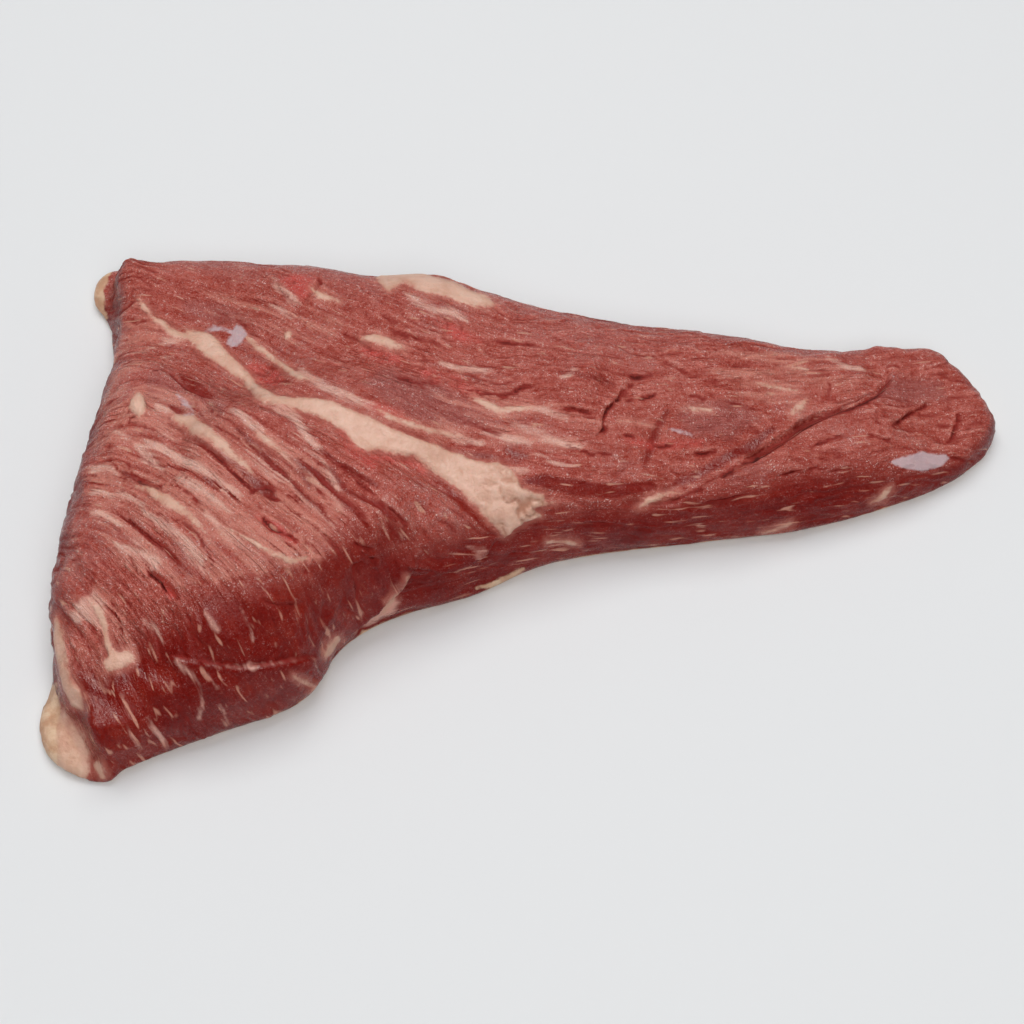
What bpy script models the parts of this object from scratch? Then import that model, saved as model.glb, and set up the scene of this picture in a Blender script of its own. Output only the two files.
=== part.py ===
"""A raw beef tri-tip lying on its fat side: one closed solid, lean and fat grown together.

The footprint is a lopsided triangle with four corners. The top is a dome over it, drawn down to the
edge all round, with the seams, folds and grain of the muscle pressed into it. The fat under the lean
shows as thin tabs past its edge, and the underside is the flat where the soft meat lies.
"""

import math

import bmesh
import bpy
import numpy as np
from mathutils import noise

# Driving dimensions, in metres
LENGTH = 0.2965
WIDTH = 0.186
THICKNESS = 0.049

# The lean's edge, as four sides from corner to corner. A point is a share of LENGTH from the wide end
# towards the tip, and a share of WIDTH from the front towards the back.
FRONT_SIDE = (
    (0.085, 0.012), (0.130, 0.044), (0.200, 0.086), (0.262, 0.124), (0.288, 0.156), (0.298, 0.190),
    (0.312, 0.228), (0.350, 0.274), (0.410, 0.314), (0.490, 0.375), (0.590, 0.412), (0.690, 0.434),
    (0.790, 0.458), (0.880, 0.500), (0.955, 0.556), (0.994, 0.606),
)
TIP_SIDE = ((0.994, 0.606), (1.006, 0.652), (0.996, 0.705), (0.974, 0.756), (0.950, 0.802))
BACK_SIDE = (
    (0.048, 0.940), (0.080, 0.966), (0.160, 0.976), (0.270, 0.955), (0.330, 0.928), (0.400, 0.932),
    (0.450, 0.902), (0.500, 0.874), (0.600, 0.838), (0.690, 0.822), (0.780, 0.798), (0.850, 0.796),
    (0.905, 0.808), (0.950, 0.802),
)
WIDE_SIDE = (
    (0.085, 0.012), (0.048, 0.085), (0.021, 0.180), (0.014, 0.320), (0.030, 0.530), (0.045, 0.680),
    (0.050, 0.800), (0.046, 0.880), (0.048, 0.940),
)

# The dome at named places: length share, width share, height as a share of THICKNESS, and the width
# of the rounding to the edge as a share of that height
HEIGHTS = {
    "front lobe": (0.200, 0.370, 1.00, 0.45),
    "front lobe brow": (0.190, 0.240, 0.97, 0.48),
    "front lobe end": (0.320, 0.370, 0.95, 0.42),
    "neck": (0.430, 0.400, 0.76, 0.45),
    "wide side rim": (0.080, 0.560, 0.80, 0.55),
    "wide side middle": (0.060, 0.360, 0.82, 0.50),
    "front corner": (0.100, 0.120, 0.56, 0.60),
    "front corner end": (0.080, 0.040, 0.42, 0.60),
    "front foot": (0.230, 0.110, 0.66, 0.60),
    "seam": (0.320, 0.520, 0.97, 0.60),
    "back corner": (0.080, 0.890, 0.50, 0.50),
    "back hollow": (0.160, 0.820, 0.50, 0.80),
    "back lobe": (0.270, 0.800, 0.68, 0.85),
    "back rim": (0.390, 0.760, 0.72, 0.80),
    "middle": (0.530, 0.590, 0.84, 0.70),
    "middle back": (0.530, 0.760, 0.66, 0.85),
    "middle front": (0.530, 0.470, 0.74, 0.50),
    "tail ridge": (0.670, 0.590, 0.70, 0.60),
    "tail back": (0.680, 0.730, 0.58, 0.80),
    "tail front": (0.610, 0.435, 0.58, 0.55),
    "tail end ridge": (0.800, 0.680, 0.54, 0.65),
    "lower tail lobe": (0.740, 0.490, 0.50, 0.55),
    "lower tail end": (0.840, 0.560, 0.45, 0.60),
    "tip": (0.950, 0.690, 0.32, 0.60),
    "tip corner": (0.985, 0.630, 0.22, 0.55),
}
HEIGHT_REACH = 0.072

# The edge is widest at LIP_SHARE of the height there. Below that the wall turns in under the meat.
LIP_SHARE = 0.20
UNDERCUT = 0.70
ROUNDING_POWER = 2.2

# Fat that shows past the lean's edge: where its middle is, half its length along the edge and its
# reach past the edge as shares of LENGTH, and its thickness as a share of THICKNESS
FAT_TABS = {
    "front corner tab": (0.048, 0.085, 0.066, 0.037, 0.17),
    "back corner tab": (0.048, 0.940, 0.042, 0.034, 0.20),
    "back corner tail": (0.046, 0.850, 0.060, 0.008, 0.12),
    "front strip": (0.460, 0.352, 0.060, 0.006, 0.10),
}

# How far a tab reaches before it has its full thickness, and the width over which the lean rises
# from it, in metres
TAB_ONSET = 0.003
TAB_SHOULDER = 0.0025

# Where one muscle ends over another. A step is its line, and then as shares of THICKNESS how far the
# surface drops beyond the line, the width of the drop, how far off it has filled again, and how
# proud and how wide the upper lip is. The low side is to the right of the line.
STEPS = {
    "tail fold": (
        ((0.915, 0.765), (0.892, 0.722), (0.862, 0.676), (0.820, 0.640), (0.780, 0.596),
         (0.742, 0.545), (0.704, 0.497), (0.650, 0.458), (0.590, 0.430)),
        0.110, 0.120, 0.500, 0.050, 0.180,
    ),
    "seam": (
        ((0.500, 0.330), (0.474, 0.368), (0.440, 0.398), (0.400, 0.432), (0.360, 0.452),
         (0.320, 0.480), (0.270, 0.525), (0.230, 0.560), (0.195, 0.610), (0.150, 0.700)),
        0.070, 0.120, 0.400, 0.040, 0.180,
    ),
    "front crease": (
        ((0.165, 0.125), (0.200, 0.122), (0.240, 0.135), (0.275, 0.150), (0.305, 0.165)),
        -0.050, 0.100, 0.250, -0.015, 0.120,
    ),
    "torn flap": (
        ((0.575, 0.700), (0.572, 0.640), (0.560, 0.590), (0.556, 0.545)),
        -0.045, 0.100, 0.250, -0.010, 0.120,
    ),
}

# Hollows and swellings: middle, length, width and turn in degrees, and depth (below 0 for a swelling)
HOLLOWS = {
    "silver hollow": (0.140, 0.610, 0.060, 0.028, -40, 0.100),
    "back hollow": (0.150, 0.830, 0.055, 0.035, 0, 0.070),
    "back corner swelling": (0.070, 0.900, 0.035, 0.030, 0, -0.060),
    "recess under the front lobe": (0.372, 0.330, 0.040, 0.022, 35, 0.090),
    "torn hollow": (0.600, 0.640, 0.040, 0.022, 20, 0.045),
    "middle hollow": (0.520, 0.620, 0.060, 0.030, -10, 0.030),
    "tip hollow": (0.935, 0.640, 0.030, 0.022, 60, 0.050),
    "tail end swelling": (0.860, 0.600, 0.050, 0.030, 25, -0.050),
    "front lobe swelling": (0.240, 0.300, 0.090, 0.050, -45, -0.045),
}

# The grain: fibre bundles fan round a point near the back edge and show as ridges on the front lobe,
# which starts LOBE_START away from that point and ends at LOBE_BACK of WIDTH. Sizes are shares of
# LENGTH, and depths shares of THICKNESS.
GRAIN_PIVOT = (0.575, 0.944)
LOBE_START = 0.39
LOBE_BACK = 0.68
BUNDLE_SPACING = 0.040
BUNDLE_DEPTH = 0.020
LUMP_SIZE = 0.060
LUMP_DEPTH = 0.022

# Raw lean under a broad wet sheen, as linear colour
LEAN_COLOUR = (0.330, 0.092, 0.076, 1.0)
LEAN_ROUGHNESS = 0.38

# Mesh counts
LENGTH_CELLS = 100
WIDTH_CELLS = 44
UNDERSIDE_RINGS = 3
EDGE_CROWDING = 0.75
RIM_SMOOTHING = 3
STEP_POINTS = 41


def along(points, shares):
    """Points at shares (0 to 1) of the way along a smooth curve through the given points."""
    knots = np.array(points, float)
    steps = np.linalg.norm(np.diff(knots, axis=0), axis=1)
    at = np.concatenate([[0.0], np.cumsum(steps)]) / steps.sum()
    ends = np.vstack([2 * knots[0] - knots[1], knots, 2 * knots[-1] - knots[-2]])
    end_at = np.concatenate([[-at[1]], at, [2 - at[-2]]])
    slopes = (ends[2:] - ends[:-2]) / (end_at[2:] - end_at[:-2])[:, None]
    piece = np.clip(np.searchsorted(at, shares, side="right") - 1, 0, len(knots) - 2)
    width = (at[piece + 1] - at[piece])[:, None]
    t = (shares - at[piece])[:, None] / width
    return (
        (2 * t**3 - 3 * t**2 + 1) * knots[piece]
        + (t**3 - 2 * t**2 + t) * width * slopes[piece]
        + (3 * t**2 - 2 * t**3) * knots[piece + 1]
        + (t**3 - t**2) * width * slopes[piece + 1]
    )


def smoothstep(low, high, value):
    """A soft step from 0 at low to 1 at high."""
    t = np.clip((value - low) / (high - low), 0, 1)
    return t * t * (3 - 2 * t)


def crowded(count):
    """Shares from 0 to 1 that lie closer together near both ends."""
    even = np.linspace(0, 1, count + 1)
    return (1 - EDGE_CROWDING) * even + EDGE_CROWDING * (1 - np.cos(math.pi * even)) / 2


def in_metres(points):
    """Points given as shares of LENGTH and WIDTH, in metres."""
    return np.asarray(points) * np.array([LENGTH, WIDTH])


def around(front, tip, back, wide):
    """Four sides as one loop, counter-clockwise from the front corner."""
    return np.concatenate([front[:-1], tip[:-1], back[:0:-1], wide[:0:-1]])


def lean_edge():
    """The closed loop of the lean's edge."""
    u, v = crowded(LENGTH_CELLS), crowded(WIDTH_CELLS)
    sides = along(FRONT_SIDE, u), along(TIP_SIDE, v), along(BACK_SIDE, u), along(WIDE_SIDE, v)
    return in_metres(around(*sides))


def loop_smoothed(loop, times):
    """The loop with each point drawn towards its neighbours."""
    for _ in range(times):
        loop = (np.roll(loop, 1, axis=0) + 2 * loop + np.roll(loop, -1, axis=0)) / 4
    return loop


def inward_normals(loop):
    """The loop's directions towards its inside, eased round the corners."""
    runs = np.roll(loop, -1, axis=0) - np.roll(loop, 1, axis=0)
    normals = loop_smoothed(np.stack([-runs[:, 1], runs[:, 0]], axis=1), RIM_SMOOTHING)
    return normals / np.linalg.norm(normals, axis=1)[:, None]


def fat_past(edge):
    """How far the fat reaches past each point of the lean's edge, and how thick it is there."""
    steps = np.linalg.norm(np.roll(edge, -1, axis=0) - edge, axis=1)
    at = np.concatenate([[0.0], np.cumsum(steps)[:-1]])
    reach, thickness = np.zeros(len(edge)), np.zeros(len(edge))
    for x, y, half_length, longest, thick in FAT_TABS.values():
        middle = at[np.argmin(np.linalg.norm(edge - in_metres((x, y)), axis=1))]
        apart = np.abs(at - middle)
        apart = np.minimum(apart, steps.sum() - apart) / (half_length * LENGTH)
        swell = np.cos(np.clip(apart, 0, 1) * math.pi / 2) ** 0.8
        reach = np.maximum(reach, swell * longest * LENGTH)
        thickness = np.maximum(thickness, swell * thick * THICKNESS)
    return reach, thickness


def filled(loop):
    """A grid of points inside the loop, indexed [along the length, across the width]."""
    u, v = crowded(LENGTH_CELLS)[:, None, None], crowded(WIDTH_CELLS)[None, :, None]
    tip_start, back_start = LENGTH_CELLS, LENGTH_CELLS + WIDTH_CELLS
    wide_start = back_start + LENGTH_CELLS
    front = loop[: tip_start + 1]
    tip = loop[tip_start : back_start + 1]
    back = loop[back_start : wide_start + 1][::-1]
    wide = np.vstack([loop[wide_start:], loop[:1]])[::-1]
    across = (1 - v) * front[:, None] + v * back[:, None]
    lengthwise = (1 - u) * wide[None] + u * tip[None]
    corners = (
        (1 - u) * (1 - v) * front[0] + u * (1 - v) * front[-1]
        + (1 - u) * v * back[0] + u * v * back[-1]
    )
    return across + lengthwise - corners


def nearest_on(points, path, closed):
    """For each point, the distance to a path, its side (1 on the right) and its place in path steps."""
    starts = path if closed else path[:-1]
    ends = np.roll(path, -1, axis=0) if closed else path[1:]
    runs = ends - starts
    offsets = points[..., None, :] - starts
    share = np.clip((offsets * runs).sum(-1) / (runs**2).sum(-1), 0, 1)
    gaps = offsets - share[..., None] * runs
    apart = np.linalg.norm(gaps, axis=-1)
    best = apart.argmin(axis=-1)[..., None]
    gap = np.take_along_axis(gaps, best[..., None], axis=-2)[..., 0, :]
    run = runs[best[..., 0]]
    side = np.where(run[..., 0] * gap[..., 1] - run[..., 1] * gap[..., 0] < 0, 1.0, -1.0)
    place = best[..., 0] + np.take_along_axis(share, best, axis=-1)[..., 0]
    return np.take_along_axis(apart, best, axis=-1)[..., 0], side, place


def height_and_rounding(points):
    """The dome's height and the width of its rounding at each point, blended from the named places."""
    places = np.array(list(HEIGHTS.values()))
    apart = np.linalg.norm(points[..., None, :] - in_metres(places[:, :2]), axis=-1)
    apart /= HEIGHT_REACH * LENGTH
    weights = np.exp(-(apart**2)) + 1e-6 / (1 + apart**2)
    weights /= weights.sum(axis=-1, keepdims=True)
    height = (weights @ places[:, 2]) * THICKNESS
    return height, (weights @ places[:, 3]) * height


def swell(share):
    """The rounding's rise from 0 at the edge to 1 where it ends, steep at first."""
    return (1 - (1 - np.clip(share, 0, 1)) ** ROUNDING_POWER) ** (1 / ROUNDING_POWER)


def dome(grid, rim, reach, thickness):
    """The height of the top over each grid point: the lean's dome, or the fat tab past its edge."""
    height, rounding = height_and_rounding(grid)
    inside, _, place = nearest_on(grid, rim, closed=True)
    steps = np.arange(len(rim) + 1)
    reach = np.interp(place, steps, np.append(reach, reach[0]))
    thickness = np.interp(place, steps, np.append(thickness, thickness[0]))
    lean = height * (LIP_SHARE + (1 - LIP_SHARE) * swell((inside - reach) / rounding))
    fat = thickness * (0.4 + 0.6 * swell(inside / np.maximum(thickness, 1e-6)))
    on_fat = smoothstep(TAB_ONSET / 10, TAB_ONSET, reach)
    on_fat = on_fat * (1 - smoothstep(-0.2 * TAB_SHOULDER, 0.8 * TAB_SHOULDER, inside - reach))
    return lean * (1 - on_fat) + fat * on_fat


def stepped(points):
    """How far the muscles' steps raise or lower each point."""
    change = np.zeros(points.shape[:-1])
    last = STEP_POINTS - 1
    for line, drop, softness, fill, lip, lip_width in STEPS.values():
        path = along(in_metres(line), np.linspace(0, 1, STEP_POINTS))
        apart, side, place = nearest_on(points, path, closed=False)
        fade = smoothstep(0, 0.15 * last, place) * smoothstep(last, 0.75 * last, place)
        signed = apart * side / THICKNESS
        low_side = smoothstep(-softness / 2, softness / 2, signed)
        down = drop * low_side * np.exp(-((np.maximum(signed, 0) / fill) ** 2))
        up = lip * (1 - low_side) * np.exp(-((np.minimum(signed, 0) / lip_width) ** 2))
        change += fade * (up - down) * THICKNESS
    return change


def hollowed(points):
    """How far the hollows and swellings lower each point."""
    change = np.zeros(points.shape[:-1])
    for x, y, length, width, turn, depth in HOLLOWS.values():
        offset = points - in_metres((x, y))
        c, s = math.cos(math.radians(turn)), math.sin(math.radians(turn))
        lengthwise = (offset @ (c, s)) / (length * LENGTH)
        across = (offset @ (-s, c)) / (width * LENGTH)
        change += depth * THICKNESS * np.exp(-2 * (lengthwise**2 + across**2))
    return change


def bundled(points):
    """The ridges of the fibre bundles, on the front lobe only, and soft lumps all over."""
    radius = np.linalg.norm(points - in_metres(GRAIN_PIVOT), axis=-1) / LENGTH
    on_lobe = smoothstep(LOBE_START - 0.06, LOBE_START + 0.06, radius)
    on_lobe *= 1 - smoothstep(LOBE_BACK - 0.10, LOBE_BACK + 0.10, points[..., 1] / WIDTH)
    change = np.zeros(points.shape[:-1])
    for index in np.ndindex(change.shape):
        x, y = points[index] / (LUMP_SIZE * LENGTH)
        sway = noise.noise((x, y, 0.0))
        wave = math.sin(2 * math.pi * (radius[index] / BUNDLE_SPACING + 0.7 * sway))
        lump = noise.fractal((x, y, 3.7), 1.0, 2.0, 2)
        change[index] = BUNDLE_DEPTH * on_lobe[index] * wave + LUMP_DEPTH * lump
    return change * THICKNESS


def add_top(mesh, grid, heights):
    """The top's faces over the grid. Returns its outer vertices, counter-clockwise from the front."""
    top = [[mesh.verts.new((*point, z)) for point, z in zip(*row)] for row in zip(grid, heights)]
    for row, after in zip(top, top[1:]):
        for near, near_after, far_after, far in zip(row, after, after[1:], row[1:]):
            mesh.faces.new((near, near_after, far_after, far))
    front, tip = [row[0] for row in top[:-1]], top[-1][:-1]
    back, wide = [row[-1] for row in top[:0:-1]], top[0][:0:-1]
    return front + tip + back + wide


def add_underside(mesh, ring, rim):
    """The wall turned in under the meat from the top's outer vertices, and the flat it lies on."""
    lips = loop_smoothed(np.array([vert.co.z for vert in ring]), 2)
    for step in range(1, UNDERSIDE_RINGS + 1):
        turn = math.pi / 2 * step / UNDERSIDE_RINGS
        inner = loop_smoothed(rim, RIM_SMOOTHING * step)
        inner += inward_normals(inner) * (UNDERCUT * lips * (1 - math.cos(turn)))[:, None]
        level = lips * (1 - math.sin(turn)) if step < UNDERSIDE_RINGS else np.zeros(len(rim))
        lower = [mesh.verts.new((*point, z)) for point, z in zip(inner, level)]
        for k in range(len(ring)):
            after = (k + 1) % len(ring)
            mesh.faces.new((ring[after], ring[k], lower[k], lower[after]))
        ring = lower
    mesh.faces.new(list(reversed(ring)))


def build_mesh():
    """The whole solid, with the front corner of the wide end near the origin."""
    edge = lean_edge()
    reach, thickness = fat_past(edge)
    rim = edge - inward_normals(edge) * reach[:, None]
    grid = filled(rim)
    heights = dome(grid, rim, reach, thickness)
    relief = stepped(grid) - hollowed(grid) + bundled(grid)
    heights += relief * smoothstep(0.15, 0.45, heights / THICKNESS)
    mesh = bmesh.new()
    ring = add_top(mesh, grid, heights)
    add_underside(mesh, ring, rim)
    return mesh


def raw_beef():
    """The colour and sheen of the lean."""
    material = bpy.data.materials.new("raw_beef")
    material.use_nodes = True
    shader = material.node_tree.nodes["Principled BSDF"]
    shader.inputs["Base Color"].default_value = LEAN_COLOUR
    shader.inputs["Roughness"].default_value = LEAN_ROUGHNESS
    shader.inputs["Metallic"].default_value = 0.0
    return material


def tri_tip():
    """The tri-tip as one object, over the origin and lying on the floor."""
    mesh = build_mesh()
    corners = np.array([vert.co for vert in mesh.verts])
    middle = (corners.min(axis=0) + corners.max(axis=0)) / 2
    bmesh.ops.translate(mesh, verts=mesh.verts, vec=(-middle[0], -middle[1], 0))
    data = bpy.data.meshes.new("tri_tip")
    mesh.to_mesh(data)
    mesh.free()
    data.shade_smooth()
    data.materials.append(raw_beef())
    body = bpy.data.objects.new("tri_tip", data)
    bpy.context.scene.collection.objects.link(body)
    return body


def main():
    for old in list(bpy.data.objects):
        bpy.data.objects.remove(old)
    tri_tip()


main()
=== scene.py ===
"""A raw beef tri-tip on a pale floor under soft studio light.

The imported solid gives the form. Here its surface is refined to a fine mesh, the seams, folds and
fibre bundles of the muscle are pressed into it, and the fat, silverskin and marbling are laid on it
as fields that one material reads.
"""

import logging
import math
from dataclasses import dataclass
from enum import Enum

import bpy
import numpy as np
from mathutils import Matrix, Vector
from mathutils.bvhtree import BVHTree
from mathutils.kdtree import KDTree


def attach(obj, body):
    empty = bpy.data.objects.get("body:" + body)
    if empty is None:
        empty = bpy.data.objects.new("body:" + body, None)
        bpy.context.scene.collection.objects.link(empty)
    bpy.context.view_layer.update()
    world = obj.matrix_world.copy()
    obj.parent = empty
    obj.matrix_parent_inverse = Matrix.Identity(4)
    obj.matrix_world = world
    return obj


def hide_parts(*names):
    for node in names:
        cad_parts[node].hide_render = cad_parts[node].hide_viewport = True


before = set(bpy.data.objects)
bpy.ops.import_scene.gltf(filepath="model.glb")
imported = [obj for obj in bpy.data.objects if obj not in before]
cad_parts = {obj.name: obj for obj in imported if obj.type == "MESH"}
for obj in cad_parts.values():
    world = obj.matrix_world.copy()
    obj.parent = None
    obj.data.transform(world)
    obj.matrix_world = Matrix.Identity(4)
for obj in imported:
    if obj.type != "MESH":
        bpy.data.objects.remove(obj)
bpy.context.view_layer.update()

LOG = logging.getLogger("tri_tip")
MILLIMETRE = 0.001


class Tissue(Enum):
    """The kinds of tissue that lie on the lean, each kept as one field of the mesh."""

    FAT = "fat"
    RIND = "rind"
    SILVER = "silver"
    PALE = "pale"
    VEIL = "veil"
    MAUVE = "mauve"
    BARE = "bare"
    BLOOD = "blood"


# Numbers and noise


def smoothstep(low: float, high: float, value: np.ndarray) -> np.ndarray:
    """A soft step from 0 at low to 1 at high.

    Args:
        low: the value where the step starts.
        high: the value where it ends.
        value: the values to step.

    Returns:
        The step at each value.
    """
    share = np.clip((value - low) / (high - low), 0.0, 1.0)
    return share * share * (3.0 - 2.0 * share)


def hashed(cell: np.ndarray, seed: int) -> np.ndarray:
    """A fixed random number for each whole-numbered cell.

    Args:
        cell: whole numbers, the last axis being the cell's coordinates.
        seed: chooses the set of random numbers.

    Returns:
        Numbers from -1 to 1.
    """
    state = np.full(cell.shape[:-1], seed * 2654435761 % 2**32, np.uint64)
    for axis in range(cell.shape[-1]):
        state = state ^ (cell[..., axis].astype(np.int64) & 0xFFFFFFFF).astype(np.uint64)
        state = state * 0x9E3779B1 & 0xFFFFFFFF
        state = (state ^ (state >> 15)) * 0x85EBCA6B & 0xFFFFFFFF
        state = state ^ (state >> 13)
    return state.astype(float) / 2**31 - 1.0


def noise(places: np.ndarray, seed: int) -> np.ndarray:
    """Smooth noise with features about one unit across.

    Args:
        places: points of two or three coordinates each.
        seed: chooses the noise.

    Returns:
        Values from -1 to 1, mostly within half of that.
    """
    low = np.floor(places)
    share = places - low
    share = share * share * (3.0 - 2.0 * share)
    total = np.zeros(places.shape[:-1])
    for corner in np.ndindex(*(2,) * places.shape[-1]):
        weight = np.where(corner, share, 1.0 - share).prod(axis=-1)
        total += weight * hashed(low.astype(np.int64) + corner, seed)
    return total


def layered(places: np.ndarray, seed: int, layers: int) -> np.ndarray:
    """Noise with finer layers added, each at half the size and half the strength.

    Args:
        places: points of two or three coordinates each.
        seed: chooses the noise.
        layers: how many layers there are.

    Returns:
        Values from about -1 to 1.
    """
    total = sum(noise(places * 2**k, seed + k) / 2**k for k in range(layers))
    return total / (2.0 - 2.0 ** (1 - layers))


def unit(vectors: np.ndarray) -> np.ndarray:
    """The vectors at length 1."""
    return vectors / np.maximum(np.linalg.norm(vectors, axis=-1, keepdims=True), 1e-12)


# The view that places are given in


@dataclass(frozen=True)
class Viewpoint:
    """The camera's place. Features of the top are named by where they show in its square picture."""

    target: tuple[float, float, float] = (-0.00666, 0.00142, 0.0)
    elevation: float = math.radians(60.0)
    distance: float = 0.71784
    lens: float = 80.0
    sensor: float = 36.0
    picture: int = 1024

    @property
    def axes(self) -> np.ndarray:
        """The camera's right, up and backward directions, one in each row."""
        c, s = math.cos(self.elevation), math.sin(self.elevation)
        return np.array([[1.0, 0.0, 0.0], [0.0, s, c], [0.0, -c, s]])

    @property
    def place(self) -> np.ndarray:
        """The camera's position, in metres."""
        return np.array(self.target) + self.distance * self.axes[2]

    @property
    def focal(self) -> float:
        """The focal length, in picture points."""
        return self.lens / self.sensor * self.picture

    def seen(self, points: np.ndarray) -> np.ndarray:
        """Where points show in the picture.

        Args:
            points: points in metres.

        Returns:
            Picture points, right and down from the top left corner.
        """
        offset = (points - self.place) @ self.axes.T
        scale = self.focal / -offset[:, 2]
        middle = self.picture / 2
        return np.stack([middle + offset[:, 0] * scale, middle - offset[:, 1] * scale], axis=1)

    def facing(self, points: np.ndarray, normals: np.ndarray) -> np.ndarray:
        """How squarely each point faces the camera: 1 straight at it, below 0 away from it."""
        return (unit(self.place - points) * normals).sum(axis=1)

    def ray(self, spot: tuple[float, float]) -> Vector:
        """The direction from the camera through a picture point.

        Args:
            spot: the picture point.

        Returns:
            The direction, of length 1.
        """
        middle = self.picture / 2
        across, up = (spot[0] - middle) / self.focal, (middle - spot[1]) / self.focal
        return Vector(unit(np.array([across, up, -1.0]) @ self.axes))

    def camera(self) -> bpy.types.Object:
        """Makes the scene's camera.

        Returns:
            The camera object.
        """
        data = bpy.data.cameras.new("camera")
        data.lens, data.sensor_width = self.lens, self.sensor
        camera = bpy.data.objects.new("camera", data)
        camera.location = self.place
        camera.rotation_euler = (math.pi / 2 - self.elevation, 0.0, 0.0)
        bpy.context.scene.collection.objects.link(camera)
        bpy.context.scene.camera = camera
        return camera


VIEW = Viewpoint()

# How many picture points a millimetre of the meat takes
SPOTS_PER_MM = 3.17

# How far a tissue's field reaches outside and inside its edge, in millimetres
FIELD_LOW = -4.0
FIELD_HIGH = 2.0


# Features that have their places in the picture

# Points right and down in the picture, on a streak with its width as a third number
Line = tuple[tuple[float, ...], ...]


def nearest_on(spots: np.ndarray, line: np.ndarray) -> tuple[np.ndarray, np.ndarray, np.ndarray]:
    """How picture points lie to a line.

    Args:
        spots: picture points.
        line: the points that the line runs through.

    Returns:
        The distance, the side (1 to the right of the line's run as seen, -1 to the left) and the
        place along the line, counted in its points.
    """
    runs = np.diff(line, axis=0)
    offsets = spots[:, None, :] - line[:-1]
    share = np.clip((offsets * runs).sum(-1) / (runs**2).sum(-1), 0.0, 1.0)
    gaps = offsets - share[..., None] * runs
    apart = np.linalg.norm(gaps, axis=-1)
    best = apart.argmin(axis=1)
    rows = np.arange(len(spots))
    gap, run = gaps[rows, best], runs[best]
    side = np.where(run[:, 0] * gap[:, 1] - run[:, 1] * gap[:, 0] > 0, 1.0, -1.0)
    return apart[rows, best], side, best + share[rows, best]


@dataclass(frozen=True)
class Streak:
    """A strip of one tissue: its middle line in picture points, with its full width at each point."""

    tissue: Tissue
    line: Line
    strength: float = 1.0

    def depth_inside(self, spots: np.ndarray) -> np.ndarray:
        """How far inside the strip each picture point is, below 0 outside it.

        Args:
            spots: the picture points.

        Returns:
            The depths, in picture points.
        """
        knots = np.array(self.line, float)
        apart, _, place = nearest_on(spots, knots[:, :2])
        return np.interp(place, np.arange(len(knots)), knots[:, 2]) / 2 - apart


@dataclass(frozen=True)
class Patch:
    """A patch of one tissue, by its outline in picture points."""

    tissue: Tissue
    outline: Line
    strength: float = 1.0

    def depth_inside(self, spots: np.ndarray) -> np.ndarray:
        """How far inside the patch each picture point is, below 0 outside it.

        Args:
            spots: the picture points.

        Returns:
            The depths, in picture points.
        """
        loop = np.array(self.outline + self.outline[:1], float)
        apart, _, _ = nearest_on(spots, loop)
        starts, ends = loop[:-1], loop[1:]
        x, y = spots[:, :1], spots[:, 1:]
        spans = (starts[:, 1] > y) != (ends[:, 1] > y)
        rise = np.where(ends[:, 1] == starts[:, 1], 1.0, ends[:, 1] - starts[:, 1])
        crossing = starts[:, 0] + (y - starts[:, 1]) * (ends[:, 0] - starts[:, 0]) / rise
        inside = (spans & (x < crossing)).sum(axis=1) % 2 == 1
        return np.where(inside, apart, -apart)


def streaks(tissue: Tissue, *lines: Line, strength: float = 1.0) -> list[Streak]:
    """Strips of one tissue and strength, each by its middle line with its widths."""
    return [Streak(tissue, line, strength) for line in lines]


def patches(tissue: Tissue, *outlines: Line, strength: float = 1.0) -> list[Patch]:
    """Patches of one tissue and strength, each by its outline."""
    return [Patch(tissue, outline, strength) for outline in outlines]


# The size of a ledge's small bends and of the stretches where its crack closes, in picture points
FRAY_SIZE = 11.0
GAP_SIZE = 13.0


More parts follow.
